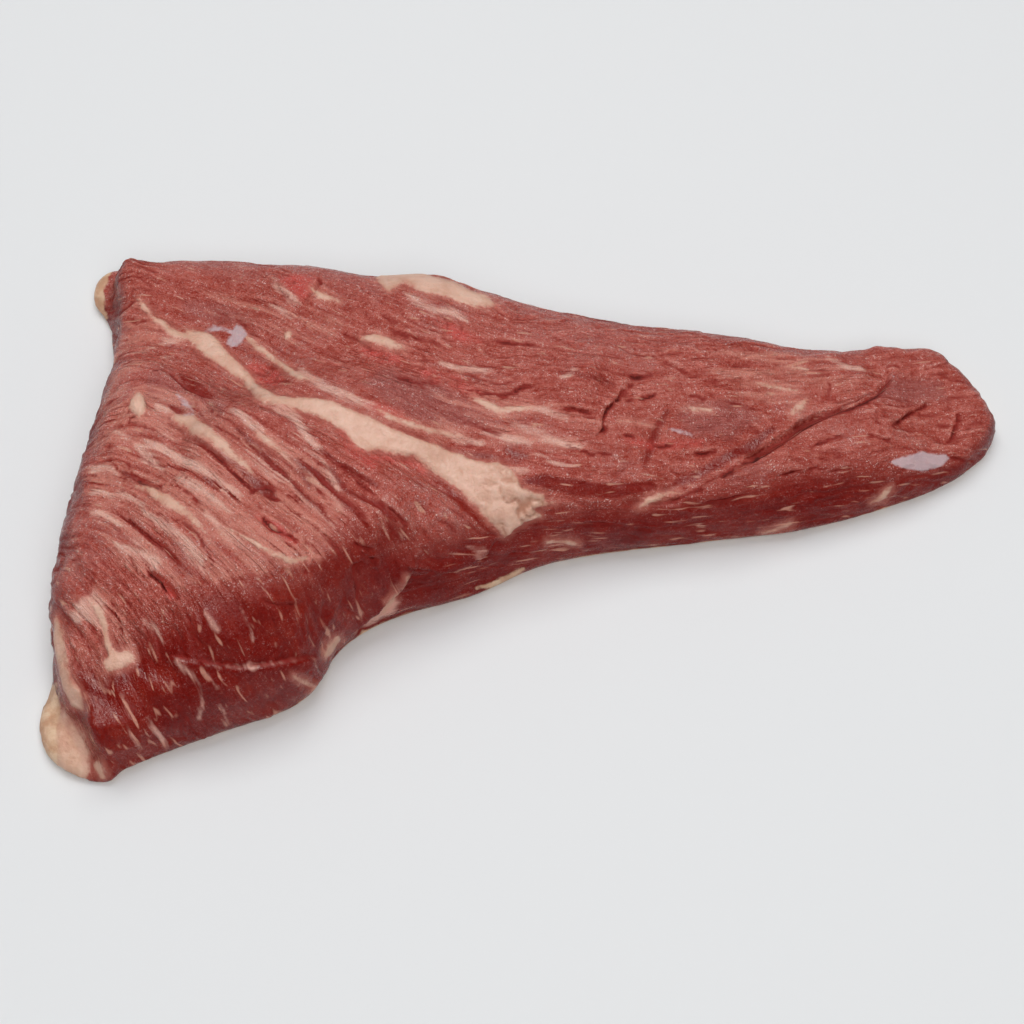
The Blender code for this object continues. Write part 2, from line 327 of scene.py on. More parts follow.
@dataclass(frozen=True)
class Ledge:
    """A line where the meat drops to one side, with a lip. Line, reaches and fray are in picture points.

    The low side is to the right of the line's run, as seen. Drop, lip and lean are in millimetres,
    and lean is how far the lip hangs over the low side. Fray is how far the line bends, and fade the
    share of it in which each end dies out. Shade is how red and dark the painted shade makes its
    cracks, and broken is the share of them that closes here and there.
    """

    line: Line
    drop: float = 0.7
    reach: float = 4.5
    lip: float = 0.4
    lip_reach: float = 5.0
    lean: float = 0.3
    fray: float = 1.2
    fade: float = 0.3
    shade: float = 0.6
    broken: float = 0.65

    def near(self, spots: np.ndarray) -> np.ndarray:
        """Finds what the ledge can move.

        Args:
            spots: the picture points of the surface.

        Returns:
            The numbers of the points near the ledge.
        """
        knots = np.array(self.line, float)
        margin = 3.0 * max(self.reach, self.lip_reach) + 8.0
        inside = (spots > knots.min(axis=0) - margin) & (spots < knots.max(axis=0) + margin)
        return np.flatnonzero(inside.all(axis=1))

    def offsets(self, spots: np.ndarray, seed: int) -> tuple[np.ndarray, np.ndarray, np.ndarray]:
        """How the ledge moves the surface.

        Args:
            spots: picture points of the surface.
            seed: chooses the line's unevenness.

        Returns:
            The move outwards in millimetres, the move towards the low side in millimetres, and how
            much painted shade darkens each point in the cracks, from 0 to 1.
        """
        knots = np.array(self.line, float)
        apart, side, place = nearest_on(spots, knots)
        last = len(knots) - 1
        ends = smoothstep(0.0, self.fade, place / last) * smoothstep(0.0, self.fade, 1 - place / last)
        signed = apart * side + self.fray * layered(spots / FRAY_SIZE, seed, 2)
        low, high = np.maximum(signed - 1.5, 0.0), np.maximum(-signed, 0.0)
        fallen = smoothstep(-2.2, 2.0, signed)
        below = fallen * np.exp(-low / self.reach) * ends
        above = (1.0 - fallen) * np.exp(-((high / self.lip_reach) ** 2)) * ends
        closed = self.broken * smoothstep(0.35, -0.4, layered(spots / GAP_SIZE, seed + 300, 2))
        # painted shade in the cracks at the foot of the drop, moved past a lip that leans over
        middle = 1.2 + 2.4 * max(self.lean - 0.4, 0.0)
        width = 2.4 + 0.08 * self.reach
        crack_shade = np.exp(-(((signed - middle) / width) ** 2)) * ends * (1.0 - closed)
        return self.lip * above - self.drop * below * (1.0 - closed), self.lean * above, self.shade * crack_shade

    def low_side(self, spots: np.ndarray) -> np.ndarray:
        """The way down from the ledge as seen.

        Args:
            spots: the picture points of the surface.

        Returns:
            The picture direction towards the low side, for each point.
        """
        knots = np.array(self.line, float)
        _, _, place = nearest_on(spots, knots)
        piece = np.clip(place.astype(int), 0, len(knots) - 2)
        run = unit(np.diff(knots, axis=0))[piece]
        return np.stack([-run[:, 1], run[:, 0]], axis=1)


@dataclass(frozen=True)
class Swelling:
    """A rounded rise of the surface, or a hollow where its height is below 0.

    Place and size are in picture points, turn in degrees clockwise as seen, height in millimetres.
    """

    place: tuple[float, float]
    size: tuple[float, float]
    turn: float
    height: float

    def rise(self, spots: np.ndarray) -> np.ndarray:
        """How far the surface rises.

        Args:
            spots: the picture points of the surface.

        Returns:
            The rise at each point, in millimetres.
        """
        c, s = math.cos(math.radians(self.turn)), math.sin(math.radians(self.turn))
        offset = spots - np.array(self.place)
        along = (offset @ (c, s)) / self.size[0]
        across = (offset @ (-s, c)) / self.size[1]
        return self.height * np.exp(-2.0 * (along**2 + across**2))


SEAM_UPPER_EDGE = (
    (186, 330), (196, 332), (207, 332), (214, 338), (227, 351), (245, 370), (252, 377), (255, 383),
    (264, 389), (277, 396), (293, 398), (319, 398), (330, 401), (358, 413), (395, 430), (424, 441),
    (448, 451), (473, 459), (487, 463), (498, 462), (510, 469), (517, 477), (522, 487),
)

SEAM_LOWER_EDGE = (
    (186, 341), (194, 346), (201, 354), (222, 367), (242, 381), (249, 388), (255, 396), (265, 402),
    (289, 410), (316, 416), (329, 424), (346, 432), (350, 440), (367, 451), (380, 450), (395, 453),
    (415, 456), (429, 468), (450, 482), (468, 498), (478, 506), (482, 514), (498, 529),
)

SEAM_TORN_END = (
    (528, 489), (533, 491), (543, 493), (544, 500), (555, 502), (543, 505), (533, 508), (541, 515),
    (532, 519), (524, 521), (522, 524), (512, 529), (510, 534), (504, 538),
)

FAT_FEATURES = (
    # the seam of fat between the front lobe and the rest, with its lumpy torn end
    Patch(Tissue.FAT, SEAM_UPPER_EDGE + SEAM_TORN_END + SEAM_LOWER_EDGE[::-1]),
    Streak(Tissue.FAT, ((139, 299, 3), (145, 308, 4), (155, 318, 5), (163, 324, 7), (171, 332, 8),
                        (182, 337, 8), (192, 338, 9)), 0.8),
    *streaks(
        Tissue.PALE,
        ((505, 466, 4), (515, 468, 5), (526, 469, 2)),
        ((524, 459, 2), (530, 455, 3), (542, 456, 3), (556, 462, 3), (576, 466, 2)),
        ((506, 422, 2), (524, 427, 4), (544, 434, 4), (559, 442, 4), (580, 447, 2)),
    ),
    # the fainter strip above it
    *streaks(
        Tissue.PALE,
        ((300, 368, 3), (315, 380, 7), (332, 390, 9), (352, 398, 11), (372, 406, 8)),
        ((440, 434, 6), (462, 440, 9), (480, 443, 5)),
        ((482, 433, 3), (495, 435, 7), (505, 438, 8), (516, 442, 6), (530, 446, 2)),
    ),
    Streak(Tissue.FAT, ((378, 410, 2), (390, 417, 7), (408, 423, 8), (430, 430, 8), (446, 434, 7),
                        (466, 437, 2)), 0.6),
    Streak(Tissue.FAT, ((247, 337, 3), (255, 344, 6), (264, 351, 5), (283, 366, 4), (298, 376, 6),
                        (314, 379, 2))),
    # the back rim
    *patches(
        Tissue.FAT,
        ((376, 279), (384, 274), (400, 272), (423, 274), (453, 281), (470, 290), (490, 298), (496, 303),
         (487, 307), (473, 306), (457, 300), (440, 296), (427, 294), (413, 287), (405, 284), (397, 288),
         (388, 293), (382, 287)),
        ((284, 333), (289, 331), (293, 335), (289, 341), (284, 339)),
    ),
    Streak(Tissue.PALE, ((408, 294, 5), (420, 304, 8), (436, 311, 9), (452, 314, 8),
                         (468, 320, 3)), 0.7),
    Streak(Tissue.FAT, ((362, 338, 3), (375, 340, 9), (390, 344, 10), (405, 349, 3)), 0.7),
    Streak(Tissue.BARE, ((268, 366, 3), (277, 369, 7), (288, 373, 3))),
    *streaks(
        Tissue.PALE,
        ((270, 305, 3), (282, 309, 5), (292, 319, 3)),
        ((272, 279, 2), (280, 287, 6), (290, 298, 8), (298, 302, 3)),
    ),
    Streak(Tissue.FAT, ((311, 288, 2), (318, 294, 5), (330, 297, 4), (340, 301, 1))),
    # the dimple of silverskin and the nub of fat beside it
    Patch(Tissue.FAT, ((138, 393), (143, 397), (146, 407), (145, 415), (140, 418), (130, 408),
                       (132, 401))),
    *streaks(
        Tissue.SILVER,
        ((177, 396, 3), (186, 404, 6), (193, 411, 5)),
        ((175, 412, 3), (184, 416, 5), (194, 414, 3)),
        strength=0.5,
    ),
    # duller greyish lean, in the dimple and in broad patches: partly fascia, partly a painted sheen
    Streak(Tissue.MAUVE, ((175, 383, 4), (187, 395, 9), (203, 403, 12), (219, 406, 9))),
    Patch(Tissue.MAUVE, ((146, 376), (158, 369), (172, 376), (190, 388), (215, 402), (222, 410),
                         (200, 418), (176, 412), (158, 400), (146, 396))),
    *patches(
        Tissue.MAUVE,
        ((180, 300), (215, 302), (240, 310), (252, 322), (225, 326), (200, 322), (184, 314)),
        ((690, 398), (740, 400), (760, 420), (730, 440), (690, 434), (676, 414)),
        ((890, 375), (940, 380), (950, 400), (905, 404), (872, 396)),
        strength=0.7,
    ),
    *patches(
        Tissue.MAUVE,
        ((100, 360), (112, 350), (106, 400), (84, 470), (66, 540), (54, 600), (48, 610), (60, 530),
         (84, 430)),
        ((380, 370), (430, 376), (474, 404), (500, 428), (440, 428), (392, 408), (362, 384)),
        strength=0.8,
    ),
    # a flake of silverskin above the seam of fat
    Patch(Tissue.SILVER, ((224, 329), (232, 330), (236, 325), (242, 326), (247, 333), (243, 342),
                          (233, 347), (225, 343), (227, 337), (232, 335))),
    Streak(Tissue.SILVER, ((203, 331, 2), (214, 328, 6), (226, 330, 4)), 0.8),
    # broad pale streaks on the front lobe
    Patch(Tissue.FAT, ((172, 413), (184, 415), (194, 415), (204, 423), (216, 434), (234, 450),
                       (250, 463), (254, 474), (245, 467), (229, 457), (213, 445), (194, 435),
                       (178, 426), (170, 419)), 0.7),
    *streaks(
        Tissue.PALE,
        ((159, 406, 3), (170, 411, 4), (180, 415, 3)),
        ((230, 410, 4), (239, 414, 8), (246, 420, 9), (254, 426, 9), (263, 430, 6)),
        ((284, 452, 5), (294, 462, 5), (306, 472, 4), (317, 483, 4), (329, 493, 3), (344, 506, 3)),
        ((280, 407, 6), (294, 417, 7), (301, 429, 10), (308, 439, 8), (320, 447, 3)),
        ((248, 452, 3), (262, 463, 6), (274, 474, 7), (291, 484, 6), (304, 499, 5), (316, 508, 4),
         (327, 520, 4), (334, 528, 2)),
        ((146, 440, 5), (161, 448, 9), (171, 453, 9), (181, 459, 10), (190, 463, 9), (199, 468, 9),
         (209, 473, 6), (221, 480, 5), (231, 486, 5), (240, 494, 4)),
        ((136, 448, 7), (148, 457, 13), (162, 467, 6)),
        ((154, 432, 2), (164, 436, 4), (174, 441, 4), (184, 446, 3), (195, 451, 2)),
        ((112, 429, 2), (120, 433, 4), (129, 438, 2)),
        ((118, 489, 4), (130, 498, 6), (142, 505, 6)),
        ((144, 512, 6), (158, 521, 9), (170, 530, 9), (181, 538, 7), (191, 547, 6), (200, 560, 5),
         (203, 576, 3)),
        ((164, 535, 4), (179, 547, 6), (190, 560, 6), (196, 573, 4)),
        ((118, 543, 4), (139, 552, 10), (154, 562, 11), (156, 573, 4)),
        ((124, 536, 3), (136, 544, 4)),
        ((179, 475, 8), (196, 486, 12), (213, 498, 10), (230, 510, 6)),
        ((94, 470, 2), (106, 465, 3), (118, 474, 2)),
        ((92, 513, 3), (104, 513, 4), (118, 524, 3)),
        ((90, 493, 2), (101, 491, 3), (112, 497, 2)),
    ),
    Streak(Tissue.FAT, ((259, 435, 6), (267, 440, 8), (275, 446, 8), (284, 453, 5),
                        (294, 462, 3)), 0.6),
    Streak(Tissue.PALE, ((288, 435, 5), (300, 443, 7), (312, 451, 8), (322, 460, 8), (330, 472, 6),
                         (338, 486, 3)), 0.8),
    Streak(Tissue.FAT, ((136, 486, 4), (148, 490, 8), (163, 498, 12), (174, 505, 12), (188, 515, 8),
                        (200, 526, 5), (212, 540, 3)), 0.65),
    Streak(Tissue.VEIL, ((170, 468, 10), (196, 486, 22), (213, 498, 26), (242, 519, 28), (271, 539, 24),
                         (290, 550, 12)), 2.0),
    Streak(Tissue.PALE, ((206, 512, 4), (222, 528, 8), (240, 543, 8), (262, 555, 4)), 0.6),
    Streak(Tissue.PALE, ((210, 482, 3), (226, 488, 6), (240, 497, 4)), 0.7),
    Streak(Tissue.FAT, ((225, 527, 2), (247, 539, 5), (270, 552, 6), (290, 561, 7),
                        (309, 557, 4)), 0.7),
    # the wide side: fascia over the rim, two patches of fat
    Patch(Tissue.FAT, ((55, 613), (61, 622), (66, 645), (68, 662), (75, 683), (87, 697), (84, 711),
                       (71, 706), (62, 690), (56, 665), (52, 640)), 0.7),
    Patch(Tissue.PALE, ((70, 611), (83, 597), (94, 590), (103, 604), (104, 621), (98, 628), (86, 622),
                        (73, 624))),
    Streak(Tissue.FAT, ((90, 599, 3), (99, 612, 6), (104, 628, 5), (108, 645, 6))),
    Patch(Tissue.FAT, ((103, 641), (110, 647), (118, 652), (130, 650), (134, 660), (121, 669),
                       (108, 671), (104, 662), (109, 656))),
    # fat corners
    *patches(
        Tissue.RIND,
        ((54, 684), (58, 700), (62, 717), (69, 731), (76, 744), (81, 760), (84, 778), (66, 790),
         (40, 785), (30, 757), (28, 727), (38, 705), (44, 688)),
        ((88, 262), (119, 266), (110, 275), (104, 290), (104, 302), (109, 318), (108, 345), (104, 374),
         (98, 360), (86, 300)),
    ),
    *streaks(
        Tissue.FAT,
        ((62, 722, 5), (72, 744, 8), (80, 765, 10), (84, 778, 10)),
        ((98, 764, 7), (104, 776, 9)),
        strength=0.8,
    ),
    Patch(Tissue.FAT, ((58, 704), (70, 716), (84, 736), (92, 758), (91, 778), (72, 779), (58, 774),
                       (55, 740)), 0.5),
    # fat that shows along the front
    *streaks(
        Tissue.FAT,
        ((326, 655, 6), (331, 647, 9), (338, 640, 5)),
        ((384, 614, 3), (390, 607, 5), (396, 602, 3)),
    ),
    Patch(Tissue.PALE, ((357, 629), (374, 614), (387, 602), (395, 600), (400, 605), (394, 614),
                        (378, 626), (362, 635), (350, 640))),
    *streaks(
        Tissue.FAT,
        ((386, 601, 1), (396, 594, 3), (404, 585, 3), (408, 577, 1)),
        ((292, 676, 2), (303, 681, 4), (315, 686, 4), (310, 694, 2)),
        ((548, 543, 2), (562, 541, 4), (578, 545, 2)),
        ((638, 508, 2), (648, 501, 7), (662, 494, 6), (676, 490, 2)),
        ((762, 534, 2), (776, 529, 4), (791, 523, 2)),
        ((872, 504, 2), (884, 497, 5), (892, 489, 2)),
        strength=0.8,
    ),
    Streak(Tissue.PALE, ((468, 548, 2), (476, 551, 4), (484, 549, 3))),
    Streak(Tissue.RIND, ((478, 589, 3), (498, 583, 6), (512, 577, 7), (524, 569, 3))),
    # the middle and the tail
    *streaks(
        Tissue.FAT,
        ((474, 399, 3), (486, 404, 8), (500, 411, 8), (514, 408, 6), (532, 406, 3)),
        ((746, 382, 2), (762, 385, 4), (778, 388, 4), (795, 391, 1)),
        ((782, 366, 1), (794, 368, 4), (808, 370, 1)),
        ((682, 407, 1), (696, 408, 4), (712, 409, 1)),
        strength=0.75,
    ),
    *streaks(
        Tissue.PALE,
        ((440, 362, 2), (455, 366, 6), (475, 368, 6), (492, 372, 2)),
        ((524, 404, 2), (545, 411, 4), (568, 417, 3)),
        ((562, 378, 2), (570, 374, 5), (577, 369, 2)),
        ((828, 358, 2), (842, 364, 5), (858, 370, 6), (868, 376, 2)),
    ),
    Streak(Tissue.SILVER, ((671, 428, 3), (681, 431, 7), (691, 434, 3)), 0.7),
    Streak(Tissue.FAT, ((788, 413, 2), (796, 406, 5), (806, 399, 2)), 0.8),
    Streak(Tissue.FAT, ((620, 420, 1), (640, 423, 3), (652, 425, 1)), 0.6),
    Patch(Tissue.SILVER, ((890, 463), (905, 457), (927, 451), (946, 453), (951, 459), (938, 468),
                          (921, 472), (906, 469))),
    # fibres of fat in the front wall, and the frayed edge of its crease
    Streak(Tissue.PALE, ((174, 659, 3), (196, 664, 3), (220, 668, 3), (255, 667, 3), (295, 661, 3),
                         (325, 659, 2)), 0.4),
    *streaks(
        Tissue.PALE,
        ((176, 661, 4), (190, 673, 6), (200, 686, 6), (203, 701, 5), (199, 717, 3)),
        ((207, 675, 3), (217, 688, 3)),
        ((220, 705, 2), (227, 722, 2)),
        ((240, 608, 2), (248, 622, 3), (255, 638, 2)),
        ((205, 612, 3), (217, 630, 3)),
        ((145, 620, 4), (156, 632, 5), (166, 643, 3)),
        ((125, 725, 2), (134, 740, 3), (142, 755, 2)),
        ((147, 717, 2), (157, 732, 3), (167, 747, 2)),
        ((121, 695, 2), (131, 717, 3)),
        ((124, 355, 2), (142, 350, 3), (162, 343, 3), (184, 337, 4)),
        ((160, 358, 3), (172, 356, 3)),
    ),
    # smooth deep red gaps between the bundles
    Patch(Tissue.BARE, ((178, 374), (192, 376), (206, 386), (218, 397), (203, 397), (190, 391),
                        (182, 384))),
    *streaks(
        Tissue.BARE,
        ((172, 408, 4), (177, 409, 6), (182, 411, 4)),
        ((170, 424, 3), (190, 437, 5), (213, 450, 5), (236, 463, 5), (252, 478, 8), (264, 488, 12),
         (274, 496, 4)),
        ((236, 429, 2), (250, 441, 5), (262, 453, 6), (273, 464, 6), (285, 474, 4)),
        ((262, 445, 2), (281, 459, 3), (298, 472, 3), (310, 486, 3)),
        ((291, 457, 3), (302, 464, 8), (316, 474, 9), (324, 482, 8), (333, 491, 6), (342, 501, 5),
         (354, 512, 5), (368, 526, 6)),
        ((294, 488, 2), (304, 497, 3), (316, 506, 3), (329, 520, 3)),
        ((331, 468, 3), (341, 486, 4), (354, 495, 5), (370, 502, 7), (382, 508, 9), (397, 521, 5)),
        ((319, 448, 2), (335, 459, 3), (348, 466, 4), (362, 475, 4), (376, 485, 3)),
        ((272, 523, 4), (281, 530, 7), (292, 539, 4)),
        ((124, 472, 4), (136, 479, 7), (158, 487, 4)),
        ((130, 519, 3), (144, 532, 5), (160, 543, 5), (176, 558, 6), (190, 574, 4)),
        ((155, 572, 5), (165, 584, 10), (176, 596, 8)),
        ((205, 477, 3), (212, 482, 5), (218, 487, 3)),
        ((416, 462, 3), (440, 482, 6), (464, 505, 8), (484, 524, 9), (500, 540, 6)),
        ((526, 480, 6), (548, 482, 14), (575, 488, 16), (610, 492, 16), (650, 486, 10)),
        ((506, 450, 4), (516, 455, 7), (526, 458, 4)),
        ((660, 490, 4), (690, 478, 8), (722, 460, 9), (752, 440, 7), (770, 428, 3)),
        ((250, 586, 4), (285, 594, 12), (318, 588, 10), (345, 570, 5)),
    ),
    *streaks(
        Tissue.BARE,
        ((668, 412, 4), (658, 428, 8), (652, 446, 9), (645, 466, 5)),
        ((420, 446, 3), (450, 452, 8), (486, 456, 7), (520, 462, 3)),
        strength=0.7,
    ),
    Streak(Tissue.BARE, ((560, 372, 3), (590, 376, 6), (612, 384, 4)), 0.5),
    # where thin pale streaks run through the lean
    Patch(Tissue.VEIL, ((100, 425), (140, 385), (200, 395), (262, 425), (318, 455), (345, 505),
                        (322, 560), (262, 575), (205, 588), (160, 592), (112, 560), (84, 505))),
    *patches(
        Tissue.VEIL,
        ((112, 345), (135, 300), (165, 318), (160, 350), (128, 385), (104, 440), (88, 470), (92, 400)),
        ((690, 350), (760, 346), (830, 352), (884, 374), (852, 396), (800, 412), (735, 400)),
        ((62, 600), (100, 580), (125, 610), (135, 660), (110, 690), (75, 690), (58, 640)),
        strength=0.7,
    ),
    Patch(Tissue.VEIL, ((430, 380), (480, 384), (560, 400), (620, 425), (560, 458), (500, 448),
                        (440, 436)), 0.6),
    Patch(Tissue.VEIL, ((200, 285), (270, 292), (345, 318), (330, 345), (262, 330), (205, 312)), 0.5),
    # wet bright red
    *patches(
        Tissue.BLOOD,
        ((240, 366), (256, 362), (278, 372), (284, 384), (266, 386), (250, 380)),
        ((280, 278), (296, 275), (316, 279), (313, 290), (302, 298), (290, 290)),
    ),
    *streaks(
        Tissue.BLOOD,
        ((258, 515, 5), (275, 528, 10), (296, 541, 6)),
        ((436, 318, 5), (455, 332, 9), (480, 340, 4)),
        ((425, 372, 5), (450, 381, 10), (478, 392, 5)),
        ((364, 403, 4), (385, 411, 8), (408, 420, 6)),
        ((364, 350, 4), (382, 357, 10), (402, 362, 6)),
        ((256, 374, 4), (268, 379, 9), (278, 384, 4)),
        ((340, 430, 4), (354, 443, 9), (370, 454, 8), (390, 457, 6), (412, 460, 6), (424, 468, 5)),
        ((344, 443, 4), (360, 455, 9), (376, 468, 4)),
        ((148, 573, 4), (158, 583, 8), (170, 596, 4)),
    ),
    Streak(Tissue.BLOOD, ((625, 438, 4), (660, 446, 9), (700, 442, 4)), 0.5),
)

TAIL_FOLD = (
    (727, 467), (743, 454), (756, 446), (768, 439), (784, 428), (796, 419), (812, 411), (830, 404),
    (848, 399), (862, 393), (874, 387), (884, 378), (892, 371),
)

# Along the top of the front wall, from left to right. Below it the lean is painted a deeper red, as shade
SHOULDER = (
    (30, 650), (95, 668), (130, 645), (160, 615), (200, 594), (250, 587), (300, 577), (335, 548),
    (352, 520), (372, 522), (400, 538), (430, 548), (470, 538), (520, 536), (560, 512), (620, 499),
    (700, 487), (760, 482), (830, 474), (880, 469), (960, 470), (1010, 430),
)

LEDGES = (
    # the fold over the tail, deep at its upper end, and its shallow run to the front
    Ledge(TAIL_FOLD, drop=1.5, reach=9.0, lip=0.8, lip_reach=9.0, lean=2.6, fray=0.6, fade=0.14,
          shade=1.5, broken=0.0),
    Ledge(TAIL_FOLD, drop=1.5, reach=55.0, lip=1.0, lip_reach=26.0, lean=0.0, fray=0.6, fade=0.25,
          shade=0.0, broken=0.0),
    Ledge(((640, 507), (675, 496), (703, 483), (730, 467), (752, 453), (775, 438)),
          drop=1.6, reach=10.0, lip=0.6, lip_reach=10.0, lean=0.8),
    # the torn flap in the middle
    Ledge(((589, 441), (596, 434), (601, 427), (601, 420), (603, 412), (606, 406), (611, 402),
           (616, 396), (620, 389), (628, 384), (637, 378)),
          drop=1.5, reach=7.0, lip=0.6, lip_reach=8.0, lean=0.9, fray=0.7, fade=0.2, shade=1.0),
    # the crease across the front and the flap at the back
    Ledge(((325, 658), (297, 662), (263, 668), (237, 670), (205, 664), (185, 661), (160, 656)),
          drop=1.2, reach=9.0, lip=0.8, lip_reach=6.0, lean=0.5, fade=0.15, shade=0.3),
    Ledge(((318, 276), (319, 283), (312, 292), (301, 301), (291, 299), (281, 289), (274, 279)),
          drop=-0.9, reach=9.0, lip=-0.2, lean=0.0, fray=1.0, fade=0.1, shade=0.5),
    Ledge(((318, 274), (322, 283), (316, 290), (305, 301)),
          drop=1.3, reach=6.0, lip_reach=6.0, lean=0.4, fray=0.8),
    # both edges of the seam of fat
    Ledge(SEAM_LOWER_EDGE, drop=0.35, reach=10.0, lip=0.2, lip_reach=8.0, lean=0.0, fray=1.5, fade=0.1,
          shade=0.15),
    Ledge(SEAM_UPPER_EDGE[::-1], drop=0.35, reach=10.0, lip=0.2, lip_reach=8.0, lean=0.0, fray=1.5,
          fade=0.1, shade=0.15),
    # the front lobe
    Ledge(((222, 402), (203, 398), (187, 392), (177, 383), (168, 376), (159, 371), (149, 375)),
          drop=1.3, reach=9.0, lip=0.6, lip_reach=8.0, lean=0.4, fray=0.8, fade=0.25),
    Ledge(((138, 299), (130, 306), (120, 316), (112, 320)), drop=1.0, reach=5.0, lip=0.5),
    Ledge(((162, 490), (150, 486), (138, 481), (124, 472)),
          drop=1.4, reach=5.0, lip=0.6, lip_reach=7.0, fray=1.0, fade=0.2, shade=1.0),
    Ledge(((278, 494), (268, 489), (259, 488), (248, 496)),
          drop=1.4, reach=9.0, lip=0.5, lip_reach=7.0, fray=1.0, fade=0.25, shade=0.7),
    Ledge(((209, 474), (229, 490), (245, 502))),
    Ledge(((372, 528), (354, 511), (342, 500), (329, 489), (317, 478), (306, 467), (291, 456)),
          drop=1.4, reach=7.0, lip=0.5, fray=0.8, fade=0.2, shade=0.25),
    Ledge(((332, 523), (316, 506), (304, 496), (291, 482), (274, 470), (260, 458)),
          drop=1.0, reach=5.0, lip=0.5, lean=0.2, fray=0.8, fade=0.2, shade=0.3),
    Ledge(((298, 475), (281, 460), (262, 446), (248, 438)),
          reach=4.0, lean=0.2, fray=0.8, fade=0.2, shade=0.3),
    Ledge(((396, 523), (380, 509), (366, 503), (352, 494), (341, 485), (332, 470)),
          drop=0.9, reach=6.0, lean=0.2, fray=0.8, fade=0.2, shade=0.25),
    Ledge(((252, 492), (268, 494), (288, 498)), drop=1.0),
    Ledge(((258, 512), (274, 526), (294, 536), (302, 543)),
          drop=1.5, reach=5.0, lip=0.5, lip_reach=6.0, lean=0.4, fray=1.0, fade=0.2, shade=1.1),
    Ledge(((255, 594), (281, 604), (307, 604)), drop=0.9),
    Ledge(((352, 540), (362, 545), (379, 549)), drop=1.3, reach=5.0),
    Ledge(((96, 502), (118, 512), (131, 520), (144, 532), (160, 543), (176, 558), (190, 574)),
          drop=1.0),
    Ledge(((147, 568), (153, 576), (161, 584), (168, 596)),
          drop=1.3, reach=5.0, lip_reach=6.0, lean=0.4, fray=1.0, fade=0.2, shade=1.1),
    Ledge(((195, 437), (222, 459), (246, 482), (262, 496)), drop=0.8),
    Ledge(((178, 516), (196, 530), (210, 551), (219, 574)), drop=0.9),
    Ledge(((345, 575), (362, 560), (372, 568), (383, 571)), drop=0.9, reach=5.0),
    Ledge(((350, 638), (360, 628), (374, 614), (386, 603), (393, 597), (403, 589), (409, 580),
           (413, 568), (424, 569), (436, 571), (452, 571), (469, 567), (478, 559), (487, 552),
           (501, 537)),
          drop=2.0, reach=13.0, lip=0.6, lip_reach=7.0, lean=0.8, fray=0.8, fade=0.08, shade=0.95,
          broken=0.15),
    Ledge(((310, 553), (307, 563), (308, 576), (313, 593)),
          drop=1.0, reach=6.0, lip_reach=6.0, fray=0.8, fade=0.2, shade=0.7),
    Ledge(((357, 545), (362, 552), (370, 557), (381, 558)),
          drop=1.4, reach=6.0, lip=0.5, lip_reach=6.0, lean=0.4, fray=0.8, fade=0.2, shade=1.0),
    Ledge(((428, 577), (440, 574), (453, 575), (463, 579)),
          drop=0.8, reach=5.0, lean=0.2, fray=0.8, fade=0.2, shade=0.8),
    Ledge(((312, 443), (335, 459), (348, 466), (362, 475), (395, 494))),
    Ledge(((330, 455), (365, 484), (395, 510), (415, 530)), drop=0.8),
    Ledge(((110, 598), (121, 622), (128, 650)), drop=0.6),
    Ledge(((182, 600), (196, 628), (210, 655)), drop=0.6),
    # the back muscle
    Ledge(((381, 325), (407, 333), (430, 340)), drop=0.8),
    Ledge(((384, 371), (414, 378), (440, 381)), drop=0.8),
    Ledge(((459, 385), (482, 390), (508, 392), (524, 384), (547, 381)), drop=1.1, reach=5.0),
    Ledge(((205, 306), (232, 316), (262, 330))),
    Ledge(((330, 322), (362, 340), (380, 352)), drop=0.8),
    Ledge(((470, 335), (510, 340), (548, 346))),
    Ledge(((628, 371), (635, 373), (643, 374), (655, 371)),
          drop=1.3, reach=4.0, lip=0.6, fray=1.0, fade=0.2, shade=0.9),
    Ledge(((624, 395), (633, 396), (643, 396), (660, 392)),
          drop=1.3, reach=4.0, lip=0.5, fray=1.0, fade=0.2, shade=0.9),
    Ledge(((660, 354), (667, 358), (675, 363), (688, 371), (701, 376)), drop=1.1, reach=6.0),
    Ledge(((672, 408), (660, 424), (654, 438), (650, 454), (642, 472)),
          drop=0.9, reach=9.0, lip=-0.7, lip_reach=9.0, lean=0.0, fray=1.6, shade=0.2),
    Ledge(((685, 395), (697, 393), (713, 397)), drop=0.9),
    Ledge(((556, 408), (573, 407), (583, 410), (600, 416)), drop=1.1),
    Ledge(((620, 433), (632, 434), (640, 438)), drop=0.9),
    Ledge(((653, 442), (663, 445), (680, 442)), drop=0.9),
    Ledge(((683, 453), (706, 452), (722, 444)), drop=0.9),
    Ledge(((725, 402), (742, 405), (760, 410))),
    Ledge(((560, 440), (590, 452), (620, 452)), drop=0.8),
    # the tail
    Ledge(((902, 368), (893, 367), (884, 370)), drop=0.9),
    Ledge(((888, 424), (898, 420), (911, 411), (924, 405), (938, 397)),
          drop=1.3, reach=6.0, lip=0.5, lip_reach=7.0, lean=0.4),
    Ledge(((942, 446), (952, 434), (956, 418), (956, 408)), drop=1.4, reach=7.0, lip_reach=6.0),
    Ledge(((949, 456), (965, 459), (980, 461)), drop=1.0),
    Ledge(((769, 479), (796, 470), (830, 463)), drop=0.8),
    Ledge(((800, 446), (822, 440), (850, 430))),
    Ledge(((868, 430), (880, 436), (896, 438)), drop=0.8),
    Ledge(((690, 505), (720, 498), (752, 492))),
    Ledge(((560, 525), (600, 522), (640, 524))),
    Ledge(((485, 562), (515, 552), (548, 550)), drop=0.8),
)

